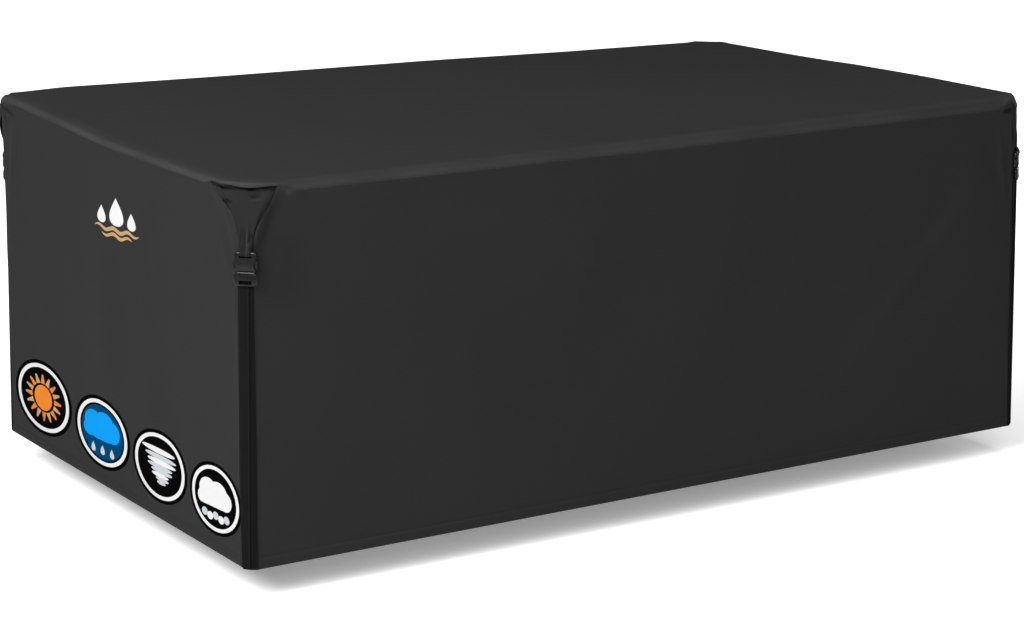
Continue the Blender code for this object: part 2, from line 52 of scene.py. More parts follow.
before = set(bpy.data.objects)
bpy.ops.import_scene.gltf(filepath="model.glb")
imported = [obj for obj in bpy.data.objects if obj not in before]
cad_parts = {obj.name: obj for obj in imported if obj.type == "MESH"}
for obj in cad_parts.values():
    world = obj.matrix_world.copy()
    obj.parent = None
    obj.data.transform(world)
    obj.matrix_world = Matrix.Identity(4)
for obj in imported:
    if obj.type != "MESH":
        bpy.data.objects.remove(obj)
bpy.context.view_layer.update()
TOP_LOW, TOP_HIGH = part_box("top_panel")
HEM_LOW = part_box("long_panel_front")[0]


def table(columns, *rows):
    """A short table: each row holds its values under the named columns."""
    return tuple(dict(zip(columns.split(), row)) for row in rows)


# The cover's driving sizes, as the frame has them.
CLOTH = 0.002
LENGTH = round(TOP_HIGH.x - TOP_LOW.x, 3)
WIDTH = round(TOP_HIGH.y - TOP_LOW.y, 3)
HEIGHT = round(CLOTH - HEM_LOW.z, 3)

# How far the top rolls over its edges before the seam, and how the tuck at each corner
# narrows down to the buckle and on to the hem.
ROLL_CORNER = 0.0035
ROLL_FADE = 0.050
ROLL_EASE = 0.040
TUCK_HEM = 0.020
TUCK_CURVE = 1.9
PINCH_DEPTH = 0.150

# Where the V of cloth under the nearest top corner starts and ends, as shares of the way
# round the corner, at depths below the top. Under 0 and over 1 it runs on along the sides.
# The other corners' V's lie between this one and an even one, some of them mirrored.
TUCK_EDGES = table(
    "depth start end",
    (0.000, -0.42, 1.00),
    (0.016, -0.42, 1.03),
    (0.027, -0.25, 1.05),
    (0.038, 0.00, 1.05),
    (0.050, 0.13, 1.01),
    (0.075, 0.22, 0.91),
    (0.095, 0.28, 0.89),
    (0.110, 0.31, 0.84),
    (0.130, 0.38, 0.76),
    (0.150, 0.52, 0.62),
)
EVEN_EDGES = table(
    "depth start end",
    (0.000, 0.00, 1.00),
    (0.045, 0.00, 1.00),
    (0.095, 0.19, 0.81),
    (0.150, 0.45, 0.55),
)
PAST_CURVE = 1.3

# The corners in the order in which the outline runs, seen from above: its sides, how much
# higher or lower than the rest its top lies, how far from the ideal corner the side panels
# start (at the top and at the buckle), how far its band and buckle sit to one side, how its
# tuck's folds differ, how full the corner is at the top and at the buckle (0 is cut straight
# across, 1 is round), how far the top rolls over at its ends and how much further in its
# middle, how far the tuck goes in under the top, how far it bulges below that, how far the
# buckle sinks into the cloth, and the tuck's cut: width, length and area of the flat cloth.
CORNERS = (
    dict(name="front_left", x=-1, y=-1, lift=0.002, tuck=0.078, low=0.024, aside=1.0, folds=1.0,
         full=(0.25, 0.60), roll=ROLL_CORNER, sag=0.0045, spread=2.0,
         under=0.0060, bulge=0.0, sunk=0.0015, cut=(0.110, 0.150, 0.0082)),
    dict(name="front_right", x=1, y=-1, lift=0.004, tuck=0.041, low=0.033, aside=-0.4, folds=0.5,
         full=(0.76, 0.60), roll=0.0120, sag=0.0145, spread=0.9,
         under=0.0004, bulge=0.0, sunk=0.0050, cut=(0.060, 0.150, 0.0060)),
    dict(name="back_right", x=1, y=1, lift=-0.0185, tuck=0.052, low=0.030, aside=0.5, folds=0.7,
         full=(0.60, 0.60), roll=0.0080, sag=0.0100, spread=1.2,
         under=0.0015, bulge=0.001, sunk=0.0040, cut=(0.076, 0.150, 0.0066)),
    dict(name="back_left", x=-1, y=1, lift=0.0225, tuck=0.031, low=0.036, aside=-0.5, folds=0.5,
         full=(1.00, 0.05), roll=0.0150, sag=0.0125, spread=0.9,
         under=0.0004, bulge=0.006, sunk=0.0055, cut=(0.055, 0.150, 0.0058)),
)
SIDES = table(
    "name along roll held",
    ("long_panel_front", (1, 0), (0.0165, 0.0255), (0.0, 0.0)),
    ("short_panel_right", (0, 1), (0.013, 0.013), (0.0, 0.0)),
    ("long_panel_back", (-1, 0), (0.020, 0.018), (0.0, 0.0)),
    ("short_panel_left", (0, -1), (0.013, 0.013), (0.0, 0.030)),
)

# Soft hollows and rises of the top: middle, reach each way, and height.
TOP_WAVES = table(
    "x y reach_x reach_y lift",
    (-0.48, 0.05, 0.34, 0.30, -0.005),
    (0.10, -0.10, 0.30, 0.26, 0.002),
    (0.55, 0.10, 0.30, 0.32, -0.006),
    (0.90, 0.12, 0.28, 0.42, -0.0045),
    (0.08, 0.52, 0.50, 0.30, 0.0025),
    (-0.93, 0.58, 0.20, 0.16, -0.0065),
)

# Soft folds of the skirt: the side, the middle of the fold (along the side from its
# centre, and depth), half its length and width, its lean from upright, and its push out.
SKIRT_FOLDS = table(
    "side along depth half_length half_width lean push",
    (0, 0.52, 0.34, 0.36, 0.13, 38, 0.006),
    (0, 0.20, 0.40, 0.34, 0.12, 24, -0.004),
    (0, -0.44, 0.45, 0.34, 0.14, -8, 0.003),
    (1, -0.16, 0.40, 0.33, 0.11, 12, 0.004),
    (1, 0.20, 0.42, 0.30, 0.12, -9, -0.003),
    (2, -0.38, 0.42, 0.36, 0.14, -26, 0.005),
    (2, 0.30, 0.40, 0.34, 0.12, 14, -0.004),
    (3, -0.05, 0.36, 0.32, 0.10, 4, 0.003),
    (3, 0.24, 0.46, 0.30, 0.10, -10, -0.003),
)
FOLD_FADE_END = 0.16
FOLD_FADE_TOP = 0.16
FOLD_START = 0.026

# Creases of the side panels: from and to (along the side from its centre, and depth), half
# width, and push out.
SIDE_CREASES = table(
    "side start end width push",
    (3, (0.145, 0.03), (0.185, 0.34), 0.009, -0.0007),
    (3, (0.170, 0.05), (0.205, 0.30), 0.010, 0.0006),
    (3, (-0.470, 0.05), (-0.505, 0.26), 0.012, 0.0022),
    (3, (-0.430, 0.04), (-0.500, 0.20), 0.010, -0.0016),
    (3, (0.470, 0.05), (0.525, 0.20), 0.012, 0.0012),
    (0, (0.74, 0.14), (0.36, 0.56), 0.045, 0.0016),
    (0, (0.84, 0.05), (0.875, 0.24), 0.012, 0.0016),
    (0, (0.79, 0.04), (0.86, 0.20), 0.014, -0.0012),
    (0, (-0.80, 0.06), (-0.86, 0.22), 0.014, 0.0010),
    (0, (-0.10, 0.10), (-0.30, 0.52), 0.060, 0.0012),
    (1, (-0.44, 0.05), (-0.50, 0.24), 0.013, 0.0018),
    (1, (0.43, 0.05), (0.50, 0.22), 0.013, 0.0016),
    (1, (0.05, 0.05), (0.02, 0.40), 0.012, -0.0008),
    (2, (-0.82, 0.05), (-0.87, 0.24), 0.014, 0.0018),
    (2, (0.81, 0.05), (0.87, 0.26), 0.014, 0.0016),
    (2, (0.10, 0.12), (-0.16, 0.54), 0.055, 0.0014),
)

# Creases of the tuck under each top corner: from and to (across the corner, and depth).
TUCK_CREASES = table(
    "start end width push",
    ((0.058, -0.014), (0.024, 0.078), 0.0110, -0.0040),
    ((0.034, 0.040), (0.009, 0.150), 0.0080, -0.0050),
    ((-0.052, 0.016), (-0.010, 0.100), 0.0080, -0.0026),
    ((0.0062, 0.060), (0.0078, 0.162), 0.0050, 0.0046),
    ((-0.0040, 0.066), (-0.0020, 0.160), 0.0052, -0.0036),
    ((-0.052, 0.030), (-0.024, 0.034), 0.0055, -0.0034),
    ((0.002, 0.023), (0.028, 0.019), 0.0050, -0.0030),
    ((0.004, 0.031), (0.030, 0.029), 0.0050, 0.0022),
    ((-0.080, 0.020), (-0.030, 0.018), 0.0060, 0.0016),
)

# Creases of the top, from and to (x, y).
TOP_CREASES = table(
    "start end width push",
    ((-0.80, -0.46), (-0.40, -0.20), 0.090, 0.0012),
    ((0.80, -0.46), (0.42, -0.24), 0.090, 0.0012),
    ((0.80, 0.44), (0.46, 0.20), 0.100, 0.0012),
    ((-0.80, 0.44), (-0.50, 0.20), 0.100, 0.0012),
)

# Painted light and shade: lines as above along which the colour is made lighter, as painted
# highlights, or darker, as painted shade and shadow, with the change of its colour as a share.
# The first table is of the side panels.
SIDE_PAINTED_LIGHT = table(
    "side start end width push",
    (0, (0.800, 0.140), (0.380, 0.560), 0.050, 0.17),
    (0, (0.640, 0.380), (0.300, 0.640), 0.080, 0.06),
    (0, (-0.855, -0.004), (-0.815, 0.026), 0.014, 0.55),
    (0, (-0.848, 0.002), (-0.897, 0.170), 0.020, -0.36),
    (0, (0.832, 0.030), (0.880, 0.026), 0.009, -0.75),
    (0, (0.872, 0.018), (0.886, 0.120), 0.007, -0.50),
    (0, (0.890, 0.016), (0.898, 0.170), 0.008, 0.40),
    (0, (-0.848, 0.060), (-0.800, 0.260), 0.060, -0.10),
    (0, (-0.700, 0.030), (-0.300, 0.030), 0.060, -0.05),
    (3, (0.455, 0.004), (0.505, 0.060), 0.013, 0.20),
    (3, (0.490, 0.020), (0.545, 0.150), 0.010, 0.14),
    (3, (0.524, 0.180), (0.538, 0.700), 0.011, 0.22),
    (3, (-0.490, 0.120), (-0.520, 0.260), 0.012, 0.20),
    (3, (-0.470, 0.030), (-0.505, 0.160), 0.016, 0.12),
    (3, (-0.505, 0.035), (-0.485, 0.060), 0.014, -0.35),
    (3, (-0.530, 0.018), (-0.430, 0.036), 0.009, -0.60),
)
# Painted shade in the tuck's recess and a painted shadow under the top's lip, with painted highlights on
# the tuck's folds.
TUCK_PAINTED_LIGHT = table(
    "start end width push",
    ((0.000, -0.060), (0.000, 0.210), 0.110, -0.28),
    ((-0.098, 0.0050), (-0.034, 0.0105), 0.0050, -0.80),
    ((-0.062, 0.0090), (-0.014, 0.0120), 0.0052, -0.62),
    ((-0.030, 0.0110), (0.020, 0.0120), 0.0040, -0.50),
    ((-0.008, 0.0125), (0.030, 0.0125), 0.0055, -0.62),
    ((0.022, 0.0110), (0.062, 0.0065), 0.0055, -0.62),
    ((0.054, -0.010), (0.026, 0.076), 0.0085, -0.20),
    ((0.034, 0.040), (0.012, 0.150), 0.0070, -0.14),
    ((-0.050, 0.016), (-0.008, 0.110), 0.0075, -0.16),
    ((0.0062, 0.066), (0.0078, 0.165), 0.0042, 0.60),
    ((-0.0030, 0.070), (-0.0015, 0.165), 0.0052, -0.32),
    ((0.0135, 0.076), (0.0140, 0.165), 0.0038, -0.40),
    ((-0.050, 0.030), (-0.024, 0.034), 0.0050, -0.45),
    ((0.002, 0.015), (0.022, 0.014), 0.0040, 0.25),
    ((0.002, 0.023), (0.028, 0.019), 0.0040, -0.30),
    ((0.002, 0.030), (0.036, 0.027), 0.0030, 0.35),
)

# Painted highlights on the rolls of the top along each side: how far from the seam they are
# lightest, how wide the light stretch is, how much lighter, and how much lighter the rest of the roll is.
ROLL_PAINTED_HIGHLIGHTS = table(
    "peak width gain rest spread",
    (0.0075, 0.0100, 0.30, 0.26, 0.046),
    (0.0060, 0.0100, 0.20, 0.25, 0.040),
    (0.0075, 0.0100, 0.25, 0.25, 0.046),
    (0.0065, 0.0110, 0.62, 0.20, 0.046),
)

# Uneven slack: how long and how high its waves are.
SLACK = table(
    "wave lift",
    (0.30, 0.0016),
    (0.11, 0.0006),
)

# Steps of the cloth's mesh: each runs until a distance, in steps of about that size.
END_STEPS = table(
    "until step",
    (0.020, 0.0014),
    (0.060, 0.0035),
)
ROW_STEPS = table(
    "until step",
    (0.020, 0.0020),
    (0.180, 0.0045),
    (0.655, 0.0115),
    (0.684, 0.0050),
)
HEM_STEP = 0.0017
MIDDLE_STEP = 0.0115
ROLL_STEPS = 9
TOP_END_STEPS = table(
    "until step",
    (0.021, 0.0030),
    (0.060, 0.0050),
)
TOP_RING_STEPS = table(
    "until step",
    (0.030, 0.0060),
    (0.120, 0.0110),
    (0.540, 0.0190),
)
CORNER_STEPS = 30
GUSSET_COLUMNS = 44
GUSSET_ROWS = 60

# The cloth's edges: the seam under the top, its puckers, the turned hem, and the rims that
# fold in beside each tuck.
FACE_CLOTH = 0.0010
SEAM_DIP = 0.0004
SEAM_DIP_REACH = 0.0035
PUCKER_WAVE = 0.021
PUCKER_LIFT = 0.00045
PUCKER_REACH = 0.030
HEM_DEPTH = 0.022
HEM_RISE = 0.0007
HEM_DIP = 0.0006
HEM_CURL = 0.0030
HEM_CURL_REACH = 0.006
RIM_RISE = 0.0002
RIM_REACH = 0.013
RIM_FALL = 0.0005
GUSSET_SUNK = 0.0013
RIM_FALL_REACH = 0.0065
BULGE_DEPTH = 0.060
BULGE_REACH = 0.060
LIP_REACH = 0.030
LIP_WELT = 0.0012
LIP_WELT_REACH = 0.007

# How far from the seam, the hem and the ends the slack and the puckers come up, how far the
# hem's fold, its own puckers and its dip reach, over which shares of its length a crease
# rises and dies out, how the puckers sway, and where the noise of the slack is read.
CALM_SEAM = 0.05
CALM_HEM = 0.03
CALM_END = 0.05
CALM_TOP = 0.06
PUCKER_END = 0.03
HEM_FOLD_REACH = 0.003
HEM_PUCKER_REACH = 0.016
HEM_DIP_REACH = 0.0035
CREASE_START = 0.30
CREASE_END = 0.45
PUCKER_SWAY = 9.0
HEM_PUCKER_SWAY = 7.0
SLACK_APART = 7.3
SIDE_SEED = 3.1
TOP_SEED = 20.0
TUCK_SEED = 40.0

# Past which angle, in degrees, an edge is shaded as sharp.
SHARP_CLOTH = 45.0
SHARP_PLASTIC = 32.0

# How finely corners, strips and tabs are read off.
END_POINTS = 25
SKIN_POINTS = 241
STRIP_ROW = 0.008
TAB_POINTS = 31
TAB_COLUMNS = 19

# The tape over each corner seam, the webbing on it, and the tab above the buckle.
GAP = 0.0003
BAND_WIDTH = 0.034
BAND_CUT = 0.036
BAND_THICK = 0.0016
BAND_SIDE = (0.0070, -0.0020)
BAND_START = 0.163
BAND_END = HEIGHT - 0.001
STRAP_WIDTH = 0.019
STRAP_CUT = 0.022
STRAP_THICK = 0.0014
STRAP_SIDE = (0.0005, -0.0085)
STRAP_START = 0.166
STRAP_END = HEIGHT - 0.004
STRAP_LIFT = 0.0005

# What is laid down each corner, from the cloth outwards: the solid that it stands for, its
# slot, its start and end, how far aside it lies at them, its columns, modelled and cut width,
# thickness, and how far its outer face lies over the cloth.
STRIPS = (
    dict(label="band", node="corner_band_", slot="tape", start=BAND_START, end=BAND_END, sides=BAND_SIDE,
         columns=24, width=BAND_WIDTH, cut=BAND_CUT, thick=BAND_THICK, lift=GAP + BAND_THICK),
    dict(label="strap", node="corner_strap_", slot="webbing", start=STRAP_START, end=STRAP_END,
         sides=STRAP_SIDE, columns=14, width=STRAP_WIDTH, cut=STRAP_CUT, thick=STRAP_THICK,
         lift=GAP + BAND_THICK + STRAP_LIFT + STRAP_THICK),
)

# The side-release buckle in its own frame: x across it, y out from its back, z up from its
# top. Its tab is a path out of the cloth, over the top bar and into the slot.
BUCKLE_DEPTH = 0.116
BUCKLE_SIDE = 0.0060
BUCKLE_LENGTH = 0.063
BUCKLE_HALF = 0.0225
BUCKLE_LIFT = 0.0003
SOCKET_LENGTH = 0.036
SOCKET_THICK = 0.0088
PRONG_THICK = 0.0072
SOCKET_ROUND = dict(corner=0.0085, edge=0.0036)
PRONG_ROUND = dict(corner=0.0090, edge=0.0030)
SLOT_HALF = 0.0118
SOCKET_SLOT = (-0.0115, -0.0080)
PRONG_SLOT = (-0.0592, -0.0528)
THROAT = dict(half=0.0185, back=0.0018, front=0.0070, top=-0.0135)
WINDOW = dict(x=0.0232, z=-0.0235, across=0.0072, down=0.0116)
LUG = dict(x=0.0186, z=-0.0235, across=0.0048, down=0.0086)
LUG_RIBS = 4
LUG_PITCH = 0.0040
RIB = (0.0018, 0.0022)
GRIP_PLACES = (-0.0430, -0.0475, -0.0520)
ARM_HALF = 0.0026
ARM_TOP = -0.0150
TAB_WIDTH = 0.0240
TAB_THICK = 0.0012
TAB_PATH = ((-0.0060, 0.0320), (-0.0030, 0.0200), (0.0020, 0.0100), (0.0075, 0.0030),
            (0.0100, -0.0025), (0.0100, -0.0068), (0.0080, -0.0094), (0.0040, -0.0098))
TAB_RIDGE = dict(place=0.0022, width=0.0034, rise=0.0012)
TAB_PINCH = 0.20
# Painted shade over the gathered tab and along its sides, and a painted highlight on its ridge: lines as
# above, with the change of its colour as a share.
TAB_PAINTED_LIGHT = table(
    "start end width push",
    ((0.0000, -0.060), (0.0000, 0.110), 0.060, -0.36),
    ((0.0022, -0.050), (0.0030, 0.090), 0.0030, 0.50),
    ((-0.0055, -0.050), (-0.0045, 0.090), 0.0050, -0.20),
    ((0.0095, -0.050), (0.0095, 0.090), 0.0040, -0.30),
)

# The discs printed in a row above the hem of the short left side: the middle of each (along
# the side from its centre, and depth) and how far the inside of its ring reaches each way.
PRINT_SIDE = 3
PRINT_LEAN = 0.044
PRINT_DISCS = table(
    "name middle reach",
    ("sun", (-0.367, 0.597), (0.1156, 0.0619)),
    ("rain", (-0.076, 0.600), (0.1060, 0.0595)),
    ("wind", (0.189, 0.603), (0.0973, 0.0577)),
    ("snow", (0.430, 0.605), (0.0865, 0.0556)),
)
PRINT_RING = 1.125
PRINT_SURROUND = 1.25
PRINT_DROPS = dict(name="drops", middle=(0.0275, 0.146), reach=(0.1085, 0.0410))
PRINT_STEP = 0.0085
INK_LAYER = 0.00014

# The puffs of each printed cloud and the bands of the printed whirlwind, as shares of the
# disc: middle and reach of each.
RAIN_PUFFS = ((-0.34, -0.26, 0.44, 0.42), (0.14, -0.34, 0.42, 0.40), (0.46, -0.14, 0.34, 0.38),
              (-0.56, 0.00, 0.28, 0.26), (0.00, 0.00, 0.62, 0.30))
SNOW_PUFFS = ((-0.34, -0.22, 0.42, 0.42), (0.14, -0.26, 0.42, 0.36), (0.46, -0.04, 0.32, 0.34),
              (-0.54, 0.06, 0.30, 0.28), (0.00, 0.06, 0.62, 0.28))
WIND_BANDS = ((-0.04, -0.54, 0.72, 0.095), (0.06, -0.325, 0.68, 0.092), (0.10, -0.150, 0.62, 0.090),
              (0.02, 0.010, 0.54, 0.086), (0.10, 0.160, 0.46, 0.080), (0.03, 0.300, 0.37, 0.074),
              (0.12, 0.430, 0.28, 0.068), (0.08, 0.550, 0.19, 0.062))

# The sewing: how far apart the stitches are, how long and thick, and where their rows run.
STITCH_PITCH = 0.0036
STITCH_LENGTH = 0.0027
THREAD = 0.00055
SEAM_ROW = 0.0050
HEM_ROW = 0.0205
EDGE_ROW = 0.0022
ROW_STEP = 0.006
SEAM_MARGIN = 0.012
HEM_MARGIN = 0.030
TAPE_MARGIN = 0.002

# The finishes: the name of the cloth's UV map, how fine each kind of unevenness is, and how
# high the weave and the grain stand.
UV_NAME = "cloth_metres"
FADE_SCALE = 3.2
SLUB_SCALE = 160.0
PATCH_SCALE = 38.0
FIBRE_SCALE = 900.0
GRAIN_SCALE = 1400.0
WEAVE_RISE = 0.0004
GRAIN_RISE = 0.0003
GRAIN_BUMP = 0.10
ROUGHNESS_SHARE = 0.4

# The camera that saw the cover, and the floor below it.
PICTURE_WIDTH = 1024
FOCAL_PIXELS = 2960.0
CAMERA_PLACE = (-3.2157, -5.1685, 1.0217)
CAMERA_YAW = math.radians(31.888)
CAMERA_PITCH = math.radians(13.824)
CAMERA_ROLL = math.radians(-0.150)
SENSOR = 36.0
FLOOR_DEPTH = 0.062
FLOOR_NEAR = 1.3
FLOOR_FAR = 4.2
FLOOR_HALF = 14.0
CLIP_END = 60.0

# The studio's soft lamps: where each stands, its width and its power in watts.
LAMPS = table(
    "name place size power",
    ("key", (-4.5, -2.2, 3.2), 3.0, 525.0),
    ("overhead", (0.0, 0.0, 4.2), 4.0, 130.0),
    ("front", (-1.0, -5.0, 2.5), 3.0, 125.0),
    ("back", (0.5, 4.5, 3.0), 3.0, 15.0),
    ("fill_right", (5.0, 0.6, 1.5), 3.0, 50.0),
    ("fill_back", (-2.8, 5.0, 1.5), 3.0, 50.0),
)


def smooth(share):
    """A soft step from 0 to 1."""
    share = np.clip(share, 0.0, 1.0)
    return share * share * (3.0 - 2.0 * share)


def mix(low, high, share):
    return low + (high - low) * share


def bell(distance):
    """A soft hump: 1 in the middle, 0 from 1 outwards."""
    return np.cos(np.clip(np.abs(distance), 0.0, 1.0) * math.pi / 2.0) ** 2


def stepped(stops, start=0.0):
    """Distances from a start, in steps that each stretch of a table gives."""
    places = [np.array([start])]
    for stop in stops:
        if stop["until"] <= start:
            continue
        count = max(1, round((stop["until"] - start) / stop["step"]))
        places.append(np.linspace(start, stop["until"], count + 1)[1:])
        start = stop["until"]
    return np.concatenate(places)


def units(vectors):
    """The same vectors, one metre long."""
    return vectors / np.maximum(np.linalg.norm(vectors, axis=-1, keepdims=True), 1e-12)


def run_along(path):
    """How far along a path each of its points lies."""
    return np.concatenate(([0.0], np.cumsum(np.linalg.norm(np.diff(path, axis=0), axis=1))))


def read_off(places, stops, points):
    """Points read off at places between their stops."""
    return np.stack([np.interp(places, stops, column) for column in points.T], axis=-1)


def in_quarter(corner, x, y):
    """Which places lie in a corner's quarter of the top."""
    return (np.sign(x) == corner["x"]) & (np.sign(y) == corner["y"])


def crease_push(creases, first, second):
    """What a table of creases pushes each point of a face: a soft ridge or trough along each
    line, at its full height in the middle and dying out towards both ends."""
    push = np.zeros(np.shape(first))
    for crease in creases:
        start = np.array(crease["start"])
        way = np.array(crease["end"]) - start
        length = math.hypot(*way)
        right, down = first - start[0], second - start[1]
        share = (right * way[0] + down * way[1]) / length**2
        aside = (right * way[1] - down * way[0]) / length
        ends = smooth(share / CREASE_START) * smooth((1.0 - share) / CREASE_END)
        push += crease["push"] * bell(aside / crease["width"]) * ends
    return push


def slack(first, second, seed):
    """Uneven slack over a face, from smooth noise."""
    lift = np.zeros(np.shape(first))
    flat_first, flat_second = np.ravel(first), np.ravel(second)
    for layer, wave in enumerate(SLACK):
        here = [
            noise.noise(Vector((a / wave["wave"], b / wave["wave"], seed + SLACK_APART * layer)))
            for a, b in zip(flat_first, flat_second)
        ]
        lift += wave["lift"] * np.reshape(here, np.shape(first))
    return lift


class CoverForm:
    """Where the cover's outer face lies. Arrays go in and come out."""

    def __init__(self, sizes):
        self.half = np.array((sizes.length, sizes.width)) / 2.0
        self.height = sizes.height
        self.folds = sizes.fold_height

    def top_relief(self, x, y):
        """How far the top lies over or under its plane."""
        rise = np.zeros(np.shape(x))
        for wave in TOP_WAVES:
            across = (x - wave["x"]) / wave["reach_x"]
            back = (y - wave["y"]) / wave["reach_y"]
            rise += wave["lift"] * bell(np.hypot(across, back))
        shares = np.minimum(1.0, np.abs(x) / self.half[0]) * np.minimum(1.0, np.abs(y) / self.half[1])
        for corner in CORNERS:
            rise += np.where(in_quarter(corner, x, y), corner["lift"] * shares, 0.0)
        return rise

    def tuck_reach(self, index, depth):
        """How far from the ideal corner a side panel starts."""
        corner = CORNERS[index % 4]
        upper = np.maximum(0.0, 1.0 - depth / PINCH_DEPTH) ** TUCK_CURVE
        lower = np.clip((depth - PINCH_DEPTH) / (self.height - PINCH_DEPTH), 0.0, 1.0)
        return mix(mix(corner["low"], corner["tuck"], upper), TUCK_HEM, lower)

    def gusset_edges(self, index, depth):
        """Where the gusset starts and ends round a corner, at this depth."""
        corner = CORNERS[index % 4]
        found = []
        for edges in (TUCK_EDGES, EVEN_EDGES):
            depths = [stop["depth"] for stop in edges]
            places = [[stop[end] for stop in edges] for end in ("start", "end")]
            found.append([np.interp(depth, depths, place) for place in places])
        (start, end), (even_start, even_end) = found
        if corner["aside"] < 0.0:
            start, end = 1.0 - end, 1.0 - start
        start, end = mix(even_start, start, corner["folds"]), mix(even_end, end, corner["folds"])
        closed = depth > PINCH_DEPTH + GAP
        return np.where(closed, (start + end) / 2.0, start), np.where(closed, (start + end) / 2.0, end)

    def past_curve(self, index, depth, share):
        """How far along a side a place beyond the corner's curve lies."""
        return np.maximum(np.maximum(-share, share - 1.0), 0.0) * self.tuck_reach(index, depth) * PAST_CURVE

    def corner_point(self, index):
        corner = CORNERS[index % 4]
        return np.array((corner["x"], corner["y"])) * self.half

    def corner_curve(self, index, depth, share):
        """Points on a corner's outline; share runs from 0 to 1 round it."""
        depth, share = np.broadcast_arrays(np.asarray(depth, float), np.asarray(share, float))
        way_in = np.array(SIDES[(index - 1) % 4]["along"], float)
        way_out = np.array(SIDES[index % 4]["along"], float)
        reach = self.tuck_reach(index, depth)[..., None]
        past = self.past_curve(index, depth, share)[..., None]
        share = share[..., None]
        past = np.where(share < 0.0, -past * way_in, past * way_out)
        share = np.clip(share, 0.0, 1.0)
        point = self.corner_point(index)
        chord = mix(point - way_in * reach, point + way_out * reach, share)
        turn = share * math.pi / 2.0
        centre = point + (way_out - way_in) * reach
        arc = centre - way_out * reach * np.cos(turn) + way_in * reach * np.sin(turn)
        full = mix(*CORNERS[index % 4]["full"], smooth(depth / PINCH_DEPTH))
        return mix(chord, arc, full[..., None]) + past

    def corner_roll(self, index, share):
        """How far the top rolls over at this share of the way round a corner."""
        corner = CORNERS[index % 4]
        return corner["roll"] + corner["sag"] * np.abs(np.sin(share * math.pi)) ** corner["spread"]

    def side_roll(self, index, place, length):
        """How far the top rolls over this far along a side."""
        side = SIDES[index]
        roll = mix(*side["roll"], place / length)
        free = np.minimum(place - side["held"][0], length - place - side["held"][1])
        rest = np.where(place < length / 2.0, CORNERS[index]["roll"], CORNERS[(index + 1) % 4]["roll"])
        return mix(rest, roll, smooth(free / ROLL_EASE))

    def seam_depth(self, index, share):
        """How deep the top's seam lies at a share of the way round a corner, or past it."""
        depth = self.corner_roll(index, np.clip(share, 0.0, 1.0))
        past = self.past_curve(index, ROLL_CORNER, share)
        sides = (self.side_roll((index - 1) % 4, 1.0 - past, 1.0), self.side_roll(index % 4, past, 1.0))
        return np.where(share < 0.0, sides[0], np.where(share > 1.0, sides[1], depth))

    def fold_push(self, index, along, depth):
        """How far the skirt's soft folds push it out."""
        fade = smooth((self.half[index % 2] - np.abs(along)) / FOLD_FADE_END)
        fade = fade * smooth((depth - FOLD_START) / FOLD_FADE_TOP)
        push = np.zeros(np.shape(along))
        for fold in SKIRT_FOLDS:
            if fold["side"] != index:
                continue
            lean = math.radians(fold["lean"])
            right = along - fold["along"]
            down = depth - fold["depth"]
            length = (down * math.cos(lean) - right * math.sin(lean)) / fold["half_length"]
            width = (right * math.cos(lean) + down * math.sin(lean)) / fold["half_width"]
            push += fold["push"] * bell(length) * bell(width)
        return push * fade * self.folds

    def lifted(self, flat, depth):
        """Space points: the top's unevenness dies out towards the hem."""
        rise = self.top_relief(flat[..., 0], flat[..., 1]) * (1.0 - depth / self.height)
        return np.dstack((flat[..., 0], flat[..., 1], CLOTH - depth + rise))


def outside(index):
    along = SIDES[index]["along"]
    return np.array((along[1], -along[0]), float)


def corner_outward(index):
    corner = CORNERS[index % 4]
    return np.array((corner["x"], corner["y"])) / math.sqrt(2.0)


def corner_across(index):
    out = corner_outward(index)
    return np.array((-out[1], out[0]))


class Face:
    """A stretch of cloth as a grid of points: its outer points, its normals, and where each
    point lies on the flat cloth, in metres."""

    def __init__(self, points, flat, ring=False):
        self.points = points
        self.flat = flat
        self.ring = ring
        self.tone = np.zeros(points.shape[:2])
        self.normals = self.find_normals()

    def find_normals(self):
        if self.ring:
            across = np.roll(self.points, -1, axis=1) - np.roll(self.points, 1, axis=1)
        else:
            across = np.gradient(self.points, axis=1)
        down = np.gradient(self.points, axis=0)
        return units(np.cross(across, down) if self.ring else np.cross(down, across))

    def push(self, distance):
        """Moves each point out by its own distance."""
        self.points = self.points + self.normals * distance[..., None]
        self.normals = self.find_normals()

    def at(self, first, second):
        """The point and normal at a place on the flat cloth."""
        row = np.searchsorted(self.flat[:, 0, 1], second) - 1
        row = int(np.clip(row, 0, len(self.points) - 2))
        low, high = self.flat[row, 0, 1], self.flat[row + 1, 0, 1]
        share = (second - low) / (high - low)
        found = []
        for values in (self.points, self.normals):
            ends = [read_off(first, self.flat[r, :, 0], values[r]) for r in (row, row + 1)]
            found.append(mix(*ends, share))
        return found[0], units(found[1])


